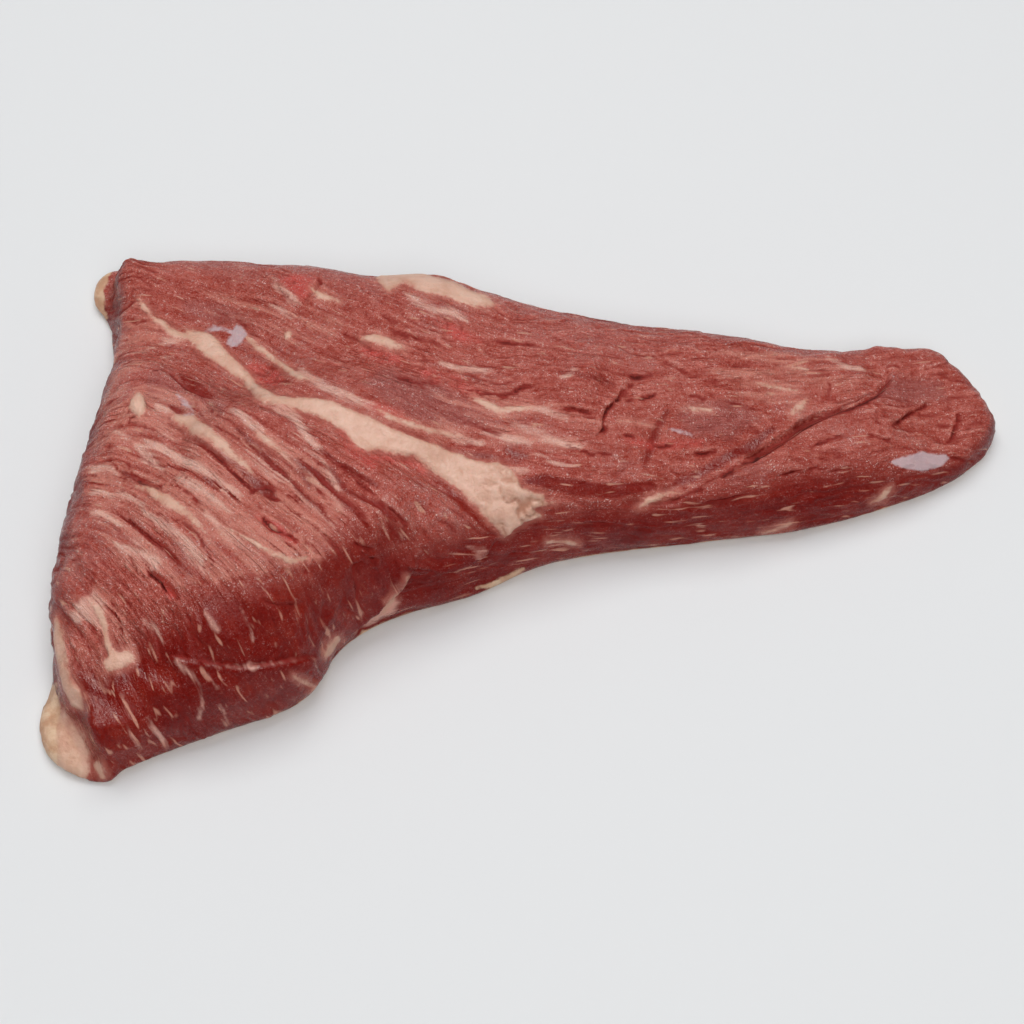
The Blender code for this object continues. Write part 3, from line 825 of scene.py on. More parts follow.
SWELLINGS = (
    Swelling((520, 492), (22, 14), 35.0, 0.9),
    Swelling((492, 480), (20, 12), 20.0, 0.7),
    Swelling((507, 515), (16, 12), 60.0, 0.7),
    Swelling((460, 474), (30, 14), 30.0, 0.5),
    Swelling((385, 340), (24, 10), 15.0, 0.5),
    Swelling((177, 409), (9, 6), 20.0, -1.4),
    Swelling((206, 408), (22, 8), 20.0, -0.5),
    Swelling((140, 405), (12, 14), 0.0, 0.9),
    Swelling((262, 374), (22, 12), 20.0, -0.8),
    Swelling((418, 588), (26, 12), -15.0, -2.0),
    Swelling((350, 600), (40, 16), -40.0, -0.7),
    Swelling((395, 655), (30, 20), 0.0, -0.6),
    Swelling((625, 405), (18, 30), 20.0, -0.7),
    Swelling((665, 400), (26, 18), 0.0, 0.5),
    Swelling((730, 425), (40, 18), -15.0, 0.5),
    Swelling((875, 345), (14, 8), 0.0, 1.0),
    Swelling((856, 381), (24, 10), -25.0, 1.5),
    Swelling((950, 430), (16, 26), 10.0, -0.9),
    Swelling((975, 400), (16, 20), 30.0, 0.6),
    Swelling((870, 435), (60, 18), -10.0, 0.6),
    Swelling((420, 284), (60, 10), 8.0, 0.8),
    Swelling((85, 610), (14, 22), 0.0, 0.6),
    Swelling((118, 660), (16, 10), 0.0, 0.5),
    Swelling((240, 340), (14, 8), 0.0, 0.5),
    Swelling((350, 540), (40, 22), 10.0, 0.8),
)

# The way the fibres run, in picture points, from left to right
GRAIN_STROKES = (
    # the wide side's rim and wall
    ((62, 560), (75, 545)), ((60, 620), (68, 640)), ((80, 470), (98, 462)), ((100, 400), (112, 378)),
    ((112, 350), (128, 332)), ((58, 690), (70, 715)), ((75, 500), (95, 492)), ((72, 590), (86, 602)),
    # the front lobe's top
    ((112, 430), (130, 442)), ((173, 412), (247, 463)), ((233, 411), (307, 463)), ((293, 467), (325, 503)),
    ((97, 467), (137, 484)), ((137, 484), (190, 518)), ((163, 503), (203, 528)), ((217, 530), (290, 567)),
    ((260, 420), (330, 450)), ((330, 440), (400, 480)), ((400, 480), (450, 530)), ((340, 500), (380, 545)),
    ((240, 480), (290, 515)),
    # the front lobe's wall
    ((177, 537), (203, 582)), ((130, 550), (157, 578)), ((100, 560), (118, 600)), ((115, 620), (128, 660)),
    ((80, 680), (92, 712)), ((140, 720), (160, 745)), ((190, 620), (202, 655)), ((233, 700), (248, 726)),
    ((243, 620), (254, 645)), ((300, 600), (312, 630)), ((340, 570), (352, 600)), ((185, 690), (202, 722)),
    ((290, 680), (304, 695)), ((110, 745), (122, 765)),
    # beside the seam
    ((150, 310), (190, 340)), ((200, 350), (240, 385)), ((300, 398), (380, 425)), ((400, 440), (480, 480)),
    ((330, 395), (420, 428)), ((125, 395), (160, 372)), ((165, 360), (205, 375)),
    # the back muscle
    ((130, 285), (200, 290)), ((200, 295), (280, 310)), ((260, 303), (292, 320)), ((277, 357), (323, 371)),
    ((330, 300), (400, 320)), ((413, 303), (467, 320)), ((443, 363), (490, 371)), ((473, 400), (520, 408)),
    ((500, 437), (560, 452)), ((500, 330), (580, 345)), ((560, 375), (620, 382)), ((540, 410), (600, 420)),
    ((623, 417), (652, 425)), ((640, 350), (720, 358)), ((683, 407), (712, 410)), ((747, 383), (794, 391)),
    ((783, 366), (810, 371)), ((830, 360), (868, 376)), ((753, 395), (784, 408)), ((620, 460), (680, 462)),
    ((680, 440), (740, 436)), ((870, 350), (900, 358)),
    # the lower tail and its front
    ((690, 505), (760, 470)), ((760, 460), (820, 425)), ((820, 480), (880, 460)), ((880, 440), (930, 415)),
    ((907, 410), (940, 398)), ((763, 530), (792, 523)), ((873, 503), (905, 488)), ((953, 425), (985, 415)),
    ((920, 375), (950, 385)), ((640, 525), (720, 515)), ((520, 540), (600, 530)), ((560, 510), (640, 495)),
    ((440, 590), (500, 570)), ((560, 550), (640, 543)), ((950, 465), (985, 440)),
)


# The mesh as arrays


@dataclass
class Surface:
    """A mesh object's points, normals and edges as arrays, and what is done to them."""

    body: bpy.types.Object
    points: np.ndarray
    edges: np.ndarray

    @classmethod
    def of(cls, body: bpy.types.Object) -> "Surface":
        """Reads an object's mesh.

        Args:
            body: the mesh object.

        Returns:
            Its arrays.
        """
        data = body.data
        points = np.empty(len(data.vertices) * 3)
        data.vertices.foreach_get("co", points)
        edges = np.empty(len(data.edges) * 2, np.int64)
        data.edges.foreach_get("vertices", edges)
        return cls(body, points.reshape(-1, 3), edges.reshape(-1, 2))

    def normals(self) -> np.ndarray:
        """Reads which way the surface faces.

        Returns:
            The outward normal at each point.
        """
        values = np.empty(len(self.points) * 3)
        self.body.data.vertices.foreach_get("normal", values)
        return values.reshape(-1, 3)

    def write(self) -> None:
        """Puts the points back into the mesh."""
        self.body.data.vertices.foreach_set("co", self.points.ravel())
        self.body.data.update()

    def gathered(self, values: np.ndarray) -> np.ndarray:
        """The sum of each point's neighbours' values.

        Args:
            values: one number, or a row of them, for each point.

        Returns:
            The sums.
        """
        a, b = self.edges.T
        count = len(self.points)
        if values.ndim == 1:
            return np.bincount(a, values[b], count) + np.bincount(b, values[a], count)
        return np.stack([self.gathered(values[:, k]) for k in range(values.shape[1])], axis=1)

    def averaged(self, values: np.ndarray, times: int) -> np.ndarray:
        """Values drawn towards their neighbours' mean.

        Args:
            values: one number, or a row of them, for each point.
            times: how many times they are drawn.

        Returns:
            The smoother values.
        """
        count = np.bincount(self.edges.ravel(), minlength=len(self.points)).astype(float)
        count = count[:, None] if values.ndim == 2 else count
        for _ in range(times):
            values = (values + self.gathered(values) / count) / 2
        return values

    def ease(self, times: int) -> None:
        """Smooths the points without shrinking the form.

        Args:
            times: how many rounds of smoothing.
        """
        count = np.bincount(self.edges.ravel(), minlength=len(self.points))[:, None]
        for _ in range(times):
            for pull in (0.55, -0.57):
                self.points += pull * (self.gathered(self.points) / count - self.points)
        self.write()

    def keep(self, name: str, values: np.ndarray) -> None:
        """Stores values on the mesh for the material to read.

        Args:
            name: the attribute's name.
            values: one number, or three, for each point.
        """
        kind = "FLOAT" if values.ndim == 1 else "FLOAT_VECTOR"
        attribute = self.body.data.attributes.new(name, kind, "POINT")
        part = "value" if values.ndim == 1 else "vector"
        attribute.data.foreach_set(part, values.astype(np.float32).ravel())

    def carried(self, coarse: "Surface", fields: list[np.ndarray]) -> list[np.ndarray]:
        """Fields of a coarser surface, read off at this surface's points.

        Args:
            coarse: the coarser surface.
            fields: its fields.

        Returns:
            The fields at this surface's points.
        """
        tree = KDTree(len(coarse.points))
        for index, point in enumerate(coarse.points):
            tree.insert(point, index)
        tree.balance()
        found = [tree.find_n(point, 6) for point in self.points]
        near = np.array([[hit[1] for hit in hits] for hits in found])
        closeness = 1.0 / (np.array([[hit[2] for hit in hits] for hits in found]) ** 2 + 1e-9)
        closeness /= closeness.sum(axis=1, keepdims=True)
        return [(field[near] * closeness).sum(axis=1) for field in fields]

    def integrated(self, way: np.ndarray, bond: np.ndarray, guess: np.ndarray, rounds: int) -> np.ndarray:
        """The field that comes closest to growing by one a metre along a direction, and not across it.

        Args:
            way: the unit direction at each point.
            bond: how much each point's surroundings count.
            guess: the field that the search starts from.
            rounds: how many steps the search takes.

        Returns:
            The field at each point.
        """
        a, b = self.edges.T
        count = len(self.points)

        def pulled(values: np.ndarray) -> np.ndarray:
            """The sum of what each point's edges pull it by."""
            return np.bincount(b, values, count) - np.bincount(a, values, count)

        tie = (bond[a] + bond[b]) / 2
        wanted = ((self.points[b] - self.points[a]) * (way[a] + way[b]) / 2).sum(axis=1)
        weight = np.bincount(a, tie, count) + np.bincount(b, tie, count) + 1e-9
        field = guess.copy()
        rest = pulled(tie * (wanted - (field[b] - field[a])))
        step = rest / weight
        run = step.copy()
        size = rest @ step
        for _ in range(rounds):
            spread = pulled(tie * (run[b] - run[a])) + 1e-9 * run
            share = size / (run @ spread)
            field += share * run
            rest -= share * spread
            step = rest / weight
            fresh = rest @ step
            if fresh < 1e-16:
                break
            run = step + fresh / size * run
            size = fresh
        return field


@dataclass(frozen=True)
class Grain:
    """The fibres' run over the whole surface, blended from strokes."""

    strokes: tuple[tuple[tuple[float, float], tuple[float, float]], ...] = GRAIN_STROKES
    reach: float = 0.014
    rounds: tuple[int, ...] = (500, 120)

    def on_surface(self, tree: BVHTree) -> tuple[np.ndarray, np.ndarray]:
        """The strokes laid on the surface.

        Args:
            tree: the surface to lay them on.

        Returns:
            Their middles and their unit directions. A stroke that misses the surface is left out.
        """
        places, runs = [], []
        for first, second in self.strokes:
            hits = [tree.ray_cast(Vector(VIEW.place), VIEW.ray(spot))[0] for spot in (first, second)]
            if None not in hits:
                start, end = np.array(hits[0]), np.array(hits[1])
                places.append((start + end) / 2)
                runs.append(unit(end - start))
        return np.array(places), np.array(runs)

    def directions(self, surface: Surface, normals: np.ndarray) -> np.ndarray:
        """The fibres' unit direction at each point, along the surface.

        Args:
            surface: the surface.
            normals: its smooth normals.

        Returns:
            One direction for each point.
        """
        tree = BVHTree.FromObject(surface.body, bpy.context.evaluated_depsgraph_get())
        places, runs = self.on_surface(tree)
        blended = np.zeros_like(surface.points)
        for place, run in zip(places, runs):
            apart = np.linalg.norm(surface.points - place, axis=1) / self.reach
            blended += (np.exp(-(apart**2)) + 1e-4 / (1.0 + apart**4))[:, None] * run
        blended = unit(blended)
        blended -= (blended * normals).sum(axis=1)[:, None] * normals
        return unit(blended)

    def coordinates(self, levels: list[Surface]) -> np.ndarray:
        """Distances across and along the fibres, in metres.

        Args:
            levels: the same surface from coarse to fine. Each level starts from the one before it.

        Returns:
            Two numbers for each point of the last level.
        """
        found: list[np.ndarray] = []
        for number, surface in enumerate(levels):
            normals = unit(surface.averaged(surface.normals(), 3 + 4 * number))
            along = self.directions(surface, normals)
            ways = (np.cross(normals, along), along)
            bond = 1e-4 + smoothstep(-0.6, -0.2, normals[:, 2])
            if number == 0:
                guesses = [surface.points @ (0.0, -1.0, 0.0), surface.points @ (1.0, 0.0, 0.0)]
            else:
                guesses = surface.carried(levels[number - 1], found)
            found = [surface.integrated(w, bond, g, self.rounds[number]) for w, g in zip(ways, guesses)]
        return np.stack(found, axis=1)


# The material


Socket = bpy.types.NodeSocket
Colour = tuple[float, float, float, float]


def colour(red: float, green: float, blue: float) -> Colour:
    """A colour for a socket, from its linear parts."""
    return (red, green, blue, 1.0)


class Shader:
    """A material's node tree, with short calls for the nodes that the finishes use."""

    def __init__(self, name: str) -> None:
        """Makes an empty material.

        Args:
            name: the material's name.
        """
        self.material = bpy.data.materials.new(name)
        self.material.use_nodes = True
        self.tree = self.material.node_tree
        self.tree.nodes.clear()

    def node(self, kind: str, inputs: dict | None = None, **settings: object) -> bpy.types.Node:
        """Adds a node.

        Args:
            kind: the node's type, without its ShaderNode prefix.
            inputs: by socket name or number, a value or an output socket to link.
            settings: the node's own properties.

        Returns:
            The node.
        """
        made = self.tree.nodes.new("ShaderNode" + kind)
        for key, value in settings.items():
            setattr(made, key, value)
        for key, value in (inputs or {}).items():
            if isinstance(value, Socket):
                self.tree.links.new(value, made.inputs[key])
            else:
                made.inputs[key].default_value = value
        return made

    def surface(self, inputs: dict) -> bpy.types.Material:
        """Adds the shader itself and links it to the output.

        Args:
            inputs: by socket name, a value or an output socket to link.

        Returns:
            The finished material.
        """
        shader = self.node("BsdfPrincipled", inputs)
        output = self.node("OutputMaterial")
        self.tree.links.new(shader.outputs["BSDF"], output.inputs["Surface"])
        return self.material

    def math(self, kind: str, first: Socket, second: Socket | float = 0.0, clamp: bool = False) -> Socket:
        """A number worked out from one or two others."""
        return self.node("Math", {0: first, 1: second}, operation=kind, use_clamp=clamp).outputs[0]

    def product(self, first: Socket, *others: Socket | float) -> Socket:
        """The product of numbers.

        Args:
            first: the first number.
            others: the numbers that it is multiplied by.

        Returns:
            The product.
        """
        result = first
        for other in others:
            result = self.math("MULTIPLY", result, other)
        return result

    def total(self, *parts: tuple[Socket, float]) -> Socket:
        """The sum of numbers.

        Args:
            parts: the numbers, each with its weight.

        Returns:
            The sum.
        """
        summed = 0.0
        for value, weight in parts:
            summed = self.node("Math", {0: value, 1: weight, 2: summed}, operation="MULTIPLY_ADD").outputs[0]
        return summed

    def field(self, name: str) -> Socket:
        """A number kept on the mesh."""
        return self.node("Attribute", attribute_name=name).outputs["Fac"]

    def vector(self, name: str) -> Socket:
        """A vector kept on the mesh."""
        return self.node("Attribute", attribute_name=name).outputs["Vector"]

    def stretched(self, vector: Socket, scale: tuple[float, float, float], shift: float = 0.0) -> Socket:
        """A vector scaled along each axis and shifted."""
        inputs = {"Vector": vector, "Scale": scale, "Location": (shift, shift, shift)}
        return self.node("Mapping", inputs).outputs["Vector"]

    def noise(self, vector: Socket, detail: float = 2.0, rough: float = 0.5, warp: float = 0.0) -> Socket:
        """Noise with features about one unit across."""
        inputs = {"Vector": vector, "Scale": 1.0, "Detail": detail, "Roughness": rough, "Distortion": warp}
        return self.node("TexNoise", inputs).outputs["Fac"]

    def band(self, value: Socket, low: float, high: float, start: float = 0.0, end: float = 1.0) -> Socket:
        """A soft step from start at low to end at high."""
        inputs = {"Value": value, "From Min": low, "From Max": high, "To Min": start, "To Max": end}
        return self.node("MapRange", inputs, interpolation_type="SMOOTHSTEP").outputs["Result"]

    def ramp(self, value: Socket, stops: tuple[tuple[float, Colour], ...]) -> Socket:
        """A colour that changes softly from stop to stop.

        Args:
            value: the number that chooses the colour.
            stops: the places of the stops, each with its colour.

        Returns:
            The colour.
        """
        made = self.node("ValToRGB", {0: value})
        elements = made.color_ramp.elements
        for number, (place, shade) in enumerate(stops):
            stop = elements[number] if number < 2 else elements.new(place)
            stop.position, stop.color = place, shade
        return made.outputs["Color"]

    def mixed(self, share: Socket, first: Socket | Colour, second: Socket | Colour) -> Socket:
        """One colour over another by a share, for sockets 6 and 7 of a Mix node of colours."""
        return self.node("Mix", {0: share, 6: first, 7: second}, data_type="RGBA").outputs[2]

    def blended(self, share: Socket, first: Socket | float, second: Socket | float) -> Socket:
        """One number over another by a share, for sockets 2 and 3 of a Mix node of numbers."""
        return self.node("Mix", {0: share, 2: first, 3: second}, data_type="FLOAT").outputs[0]


@dataclass(frozen=True)
class Weave:
    """The noises and the mesh's fields that the layers of the finish share, from coarse to fine."""

    patches: Socket
    mottle: Socket
    bundles: Socket
    strands: Socket
    grain: Socket
    grit: Socket
    fibres: Socket
    sand: Socket
    covered: Socket
    # painted shade of the walls, together with the bare dark red gaps
    wall_shade_and_bare: Socket
    fleshy: Socket
    fissures: Socket
    # painted shade in creases, cracks and thin lines
    shaded_creases: Socket


@dataclass(frozen=True)
class Covers:
    """How much fat, rind and silverskin lie on each place, from 0 to 1."""

    fat: Socket
    soft_fat: Socket
    rind: Socket
    silver: Socket
    fatty: Socket


@dataclass(frozen=True)
class RawBeef:
    """The finish of the whole cut. Colours are linear, sizes in metres."""

    # painted shade: the red of creases and cracks, and the darkest red of the deepest of them
    crease_shade_red: Colour = colour(0.235, 0.010, 0.006)
    crease_shade_darkest: Colour = colour(0.070, 0.002, 0.001)
    lean: tuple[tuple[float, Colour], ...] = (
        (0.28, colour(0.275, 0.024, 0.014)),
        (0.48, colour(0.385, 0.066, 0.046)),
        (0.66, colour(0.480, 0.118, 0.090)),
        (0.90, colour(0.620, 0.250, 0.200)),
    )
    # the lean on the walls, darkened as painted shade
    wall: tuple[tuple[float, Colour], ...] = (
        (0.28, colour(0.128, 0.002, 0.001)),
        (0.48, colour(0.180, 0.005, 0.002)),
        (0.68, colour(0.238, 0.015, 0.007)),
        (0.95, colour(0.400, 0.090, 0.058)),
    )
    lean_middle: float = 0.785
    wall_middle: float = 0.355
    # the colour of painted glints
    painted_glint: Colour = colour(0.840, 0.600, 0.560)
    # greyish mauve lean: partly fascia, partly a painted sheen
    mauve: Colour = colour(0.290, 0.080, 0.072)
    blood: Colour = colour(0.540, 0.068, 0.055)
    pale: Colour = colour(0.740, 0.415, 0.335)
    bloom: Colour = colour(0.640, 0.245, 0.185)
    marbling: Colour = colour(0.600, 0.280, 0.200)
    fat: Colour = colour(0.610, 0.350, 0.255)
    fat_light: Colour = colour(0.710, 0.455, 0.350)
    # darker fat: on thin fat, and as painted shade in the crevices between the curds
    curd: Colour = colour(0.430, 0.180, 0.110)
    rind: Colour = colour(0.560, 0.310, 0.190)
    rind_light: Colour = colour(0.730, 0.510, 0.350)
    silver: Colour = colour(0.550, 0.415, 0.435)
    relief_height: float = 0.0009
    specular: float = 0.23
    refraction: float = 1.40
    glow: float = 0.12
    glow_radius: tuple[float, float, float] = (1.0, 0.25, 0.15)
    glow_depth: float = 0.002

    def threads(self, s: Shader, width: float, length: float, shift: float, detail: float = 2.0) -> Socket:
        """Noise drawn out along the fibres.

        Args:
            s: the shader that it is made in.
            width: the size of its features across the fibres.
            length: their size along the fibres.
            shift: moves the noise, so that no two look alike.
            detail: how many finer layers it has.

        Returns:
            The noise, from 0 to 1.
        """
        place = s.stretched(s.vector("grain"), (1 / width, 1 / length, 0), shift)
        return s.noise(place, detail, 0.55, 0.4)

    def specks(self, s: Shader, size: float, shift: float, detail: float = 2.0, rough: float = 0.6) -> Socket:
        """Noise with no direction.

        Args:
            s: the shader that it is made in.
            size: the size of its features.
            shift: moves the noise, so that no two look alike.
            detail: how many finer layers it has.
            rough: how strong those are.

        Returns:
            The noise, from 0 to 1.
        """
        place = s.node("TexCoord").outputs["Object"]
        return s.noise(s.stretched(place, (1 / size, 1 / size, 1 / size), shift), detail, rough)

    def lines(self, s: Shader, width: float, length: float, shift: float) -> Socket:
        """Thin lines that run along the fibres.

        Args:
            s: the shader that it is made in.
            width: about how far the lines are apart.
            length: about how long they run.
            shift: moves the lines, so that no two sets look alike.

        Returns:
            1 on the lines and 0 off them.
        """
        away = s.math("SUBTRACT", self.threads(s, width, length, shift, 1.0), 0.5)
        return s.band(s.math("ABSOLUTE", away), 0.040, 0.008)

    def weave(self, s: Shader) -> Weave:
        """Makes what the layers of the finish share.

        Args:
            s: the shader that it is made in.

        Returns:
            The noises and fields.
        """
        mottle = self.specks(s, 0.0060, 0.0, 3.0)
        bare = s.band(s.field(Tissue.BARE.value), -1.0, 0.8)
        # painted shade on the walls, joined by the bare dark red gaps between the bundles
        wall_shade_and_bare = s.math("MAXIMUM", s.field("wall_shade_and_bare"), s.product(bare, 0.92))
        fleshy = s.band(wall_shade_and_bare, 0.2, 1.0, 1.0, 0.35)
        lines = s.math("MAXIMUM", self.lines(s, 0.0044, 0.046, 15.0), self.lines(s, 0.0025, 0.026, 33.0))
        veiled = s.band(s.field(Tissue.VEIL.value), -2.0, 1.5, 0.45, 1.0)
        # thin lines along the fibres, which also take the painted shade of the creases
        fissures = s.product(lines, s.product(s.band(mottle, 0.42, 0.58), veiled), fleshy)
        return Weave(
            patches=self.specks(s, 0.026, 3.1, 2.0, 0.5),
            mottle=mottle,
            bundles=self.threads(s, 0.0030, 0.020, 0.0),
            strands=self.threads(s, 0.0013, 0.009, 7.3),
            grain=self.specks(s, 0.0016, 5.0, 2.0),
            grit=self.specks(s, 0.0008, 1.7, 2.0, 0.7),
            fibres=self.threads(s, 0.0005, 0.0045, 4.9, 1.0),
            sand=self.specks(s, 0.00042, 9.4, 1.0),
            covered=s.band(bare, 0.0, 1.0, 1.0, 0.08),
            wall_shade_and_bare=wall_shade_and_bare,
            fleshy=fleshy,
            fissures=fissures,
            # painted shade in creases, cracks and the thin lines along the fibres
            shaded_creases=s.total((s.field("shaded_creases"), 1.0), (fissures, 0.36)),
        )

    def lean_colour(self, s: Shader, w: Weave) -> Socket:
        """The lean: bloomed pink where it faces up, with painted shade: deeper red on its walls, reddest in
        creases.

        Args:
            s: the shader that it is made in.
            w: what the layers share.

        Returns:
            The colour.
        """
        # the tone is lifted on crests as painted highlight and lowered in creases as painted shade
        tone = s.total((w.mottle, 0.50), (w.grain, 0.36), (w.bundles, 0.31), (w.strands, 0.34),
                       (w.fibres, 0.25), (w.patches, 0.35), (w.sand, 0.52), (s.field("crest_highlight"), 0.14),
                       (w.shaded_creases, -0.14))
        lean = s.ramp(s.math("SUBTRACT", tone, self.lean_middle), self.lean)
        # the walls' darker red: painted shade
        smooth = s.total((w.mottle, 0.45), (w.patches, 0.60), (w.strands, 0.32), (w.grain, 0.18),
                         (w.sand, 0.16))
        wall = s.ramp(s.math("SUBTRACT", smooth, self.wall_middle), self.wall)
        # mauve patches, random and listed: partly fascia, partly a painted sheen
        veined = s.product(s.band(w.patches, 0.48, 0.70), s.band(w.grain, 0.35, 0.60))
        veined = s.math("MAXIMUM", veined, s.band(s.field(Tissue.MAUVE.value), -1.8, 1.6))
        lean = s.mixed(s.product(veined, 0.50), lean, self.mauve)
        # walls take the darker red as painted shade; the bare gaps between the bundles take the same dark red
        lean = s.mixed(w.wall_shade_and_bare, lean, wall)
        blood = s.product(s.band(s.field(Tissue.BLOOD.value), -1.6, 0.8), s.band(w.mottle, 0.30, 0.60), 0.85)
        lean = s.mixed(blood, lean, self.blood)
        # painted shade: creases and cracks turn a dark red, the deepest cracks a very dark red
        lean = s.mixed(s.band(w.shaded_creases, 0.2, 1.0, 0.0, 0.75), lean, self.crease_shade_red)
        return s.mixed(s.band(s.field("shaded_creases"), 1.02, 1.40, 0.0, 0.80), lean, self.crease_shade_darkest)

    def streaked(self, s: Shader, w: Weave, lean: Socket) -> Socket:
        """Lays thin pale tissue and the marbling on the lean, both drawn out along the fibres.

        Args:
            s: the shader that it is made in.
            w: what the layers share.
            lean: the lean's colour.

        Returns:
            The colour.
        """
        streaks = self.threads(s, 0.0034, 0.034, 11.0)
        veil = s.total((s.field(Tissue.VEIL.value), 0.08), (streaks, 1.0), (w.strands, 0.3))
        veil = s.product(s.band(veil, 0.62, 0.94), s.band(w.shaded_creases, 0.9, 0.1), w.covered, 0.66)
        pale = s.total((s.field(Tissue.PALE.value), 1.0), (streaks, 5.0), (w.strands, 2.6))
        pale = s.product(s.band(pale, 3.0, 5.1), s.band(w.shaded_creases, 1.3, 0.3, 0.0, 0.86), w.covered)
        dashes = self.threads(s, 0.0016, 0.0085, 21.0, 1.0)
        marbled = s.total((dashes, 1.0), (w.patches, 0.16), (s.field("marbling"), 0.08))
        tinted = s.mixed(veil, lean, self.bloom)
        tinted = s.mixed(s.band(marbled, 0.73, 0.86, 0.0, 0.80), tinted, self.marbling)
        return s.mixed(pale, tinted, self.pale)

    def with_painted_glints(self, s: Shader, w: Weave, tinted: Socket) -> Socket:
        """Paints small pale flecks on the lean as painted glints of the wet surface, in clusters on what
        stands up.

        Args:
            s: the shader that it is made in.
            w: what the layers share.
            tinted: the colour below them.

        Returns:
            The colour.
        """
        painted_glint = s.band(s.total((w.sand, 0.55), (w.grit, 0.45)), 0.560, 0.650)
        clustered = s.band(s.total((w.grain, 0.40), (w.strands, 0.35), (w.mottle, 0.25)), 0.43, 0.57)
        # fewer painted glints in creases and on the walls
        standing = s.band(w.shaded_creases, 0.6, 0.1, 0.0, 0.75)
        upward = s.band(w.wall_shade_and_bare, 0.3, 1.0, 1.0, 0.25)
        return s.mixed(s.product(painted_glint, clustered, standing, upward), tinted, self.painted_glint)

    def covers(self, s: Shader, w: Weave) -> Covers:
        """Finds where fat, rind and silverskin lie, with frayed edges.

        Args:
            s: the shader that it is made in.
            w: what the layers share.

        Returns:
            How much of each there is.
        """
        fray = s.total((w.bundles, 0.9), (w.strands, 0.7), (w.mottle, 1.8), (w.grain, 0.8))
        fray = s.math("SUBTRACT", fray, 2.10)
        fat_field = s.math("ADD", s.field(Tissue.FAT.value), fray)
        fat = s.band(fat_field, -0.45, 0.60)
        rind = s.band(s.math("ADD", s.field(Tissue.RIND.value), fray), -0.35, 0.45)
        rind = s.product(rind, s.band(fat, 0.0, 1.0, 1.0, 0.35))
        return Covers(
            fat=fat,
            soft_fat=s.band(fat_field, -2.6, 0.3),
            rind=rind,
            silver=s.band(s.math("ADD", s.field(Tissue.SILVER.value), fray), -0.5, 0.5),
            fatty=s.math("MAXIMUM", fat, rind),
        )

    def dressed(self, s: Shader, w: Weave, over: Covers, tinted: Socket) -> Socket:
        """Lays fat, rind and silverskin on the lean.

        Args:
            s: the shader that it is made in.
            w: what the layers share.
            over: where each of them lies.
            tinted: the colour below them.

        Returns:
            The colour.
        """
        blotches = s.band(w.mottle, 0.35, 0.65)
        cream = s.mixed(blotches, self.fat, self.fat_light)
        cream = s.mixed(s.band(w.grain, 0.62, 0.40, 0.0, 0.20), cream, self.pale)
        cream = s.mixed(s.band(s.field(Tissue.FAT.value), 1.6, 0.4, 0.0, 0.24), cream, self.curd)
        # painted shade in the crevices between the curds of the torn end
        cream = s.mixed(s.product(s.field("curds"), 0.75), cream, self.curd)
        yellow = s.mixed(blotches, self.rind, self.rind_light)
        tinted = s.mixed(s.product(over.soft_fat, 0.42), tinted, self.bloom)
        tinted = s.mixed(over.fat, tinted, cream)
        tinted = s.mixed(over.rind, tinted, yellow)
        return s.mixed(s.product(over.silver, 0.85), tinted, self.silver)

    def roughness(self, s: Shader, w: Weave, over: Covers) -> Socket:
        """How dull the wet surface is: most on fat and in creases.

        Args:
            s: the shader that it is made in.
            w: what the layers share.
            over: where fat, rind and silverskin lie.

        Returns:
            The roughness.
        """
        rough = s.blended(over.fatty, s.band(w.grain, 0.3, 0.7, 0.15, 0.36), 0.48)
        rough = s.blended(over.silver, rough, 0.28)
        return s.math("ADD", rough, s.product(w.shaded_creases, 0.45), clamp=True)

    def fine_relief(self, s: Shader, w: Weave, over: Covers) -> Socket:
        """The surface's direction with its finest fibres and grains.

        Args:
            s: the shader that it is made in.
            w: what the layers share.
            over: where fat, rind and silverskin lie.

        Returns:
            The direction.
        """
        lean = s.total((w.bundles, 0.60), (w.strands, 0.85), (w.fibres, 0.30), (w.grain, 0.45),
                       (w.grit, 0.50), (w.sand, 0.40), (w.fissures, -0.25))
        lean = s.product(s.math("SUBTRACT", lean, 1.55), w.fleshy)
        smooth = s.math("SUBTRACT", s.total((w.mottle, 0.8), (w.grain, 0.35), (w.grit, 0.14)), 0.645)
        height = s.blended(s.math("MAXIMUM", over.fatty, over.silver), lean, smooth)
        bump = s.node("Bump", {"Strength": 1.0, "Distance": self.relief_height, "Height": height})
        return bump.outputs["Normal"]

    def material(self) -> bpy.types.Material:
        """Builds the material.

        Returns:
            The material, which reads the mesh's fields.
        """
        s = Shader("raw_beef")
        w = self.weave(s)
        over = self.covers(s, w)
        tinted = self.with_painted_glints(s, w, self.streaked(s, w, self.lean_colour(s, w)))
        return s.surface(
            {
                "Base Color": self.dressed(s, w, over, tinted),
                "Roughness": self.roughness(s, w, over),
                "Normal": self.fine_relief(s, w, over),
                "IOR": self.refraction,
                "Specular IOR Level": self.specular,
                "Subsurface Weight": self.glow,
                "Subsurface Radius": self.glow_radius,
                "Subsurface Scale": self.glow_depth,
            }
        )


# The meat


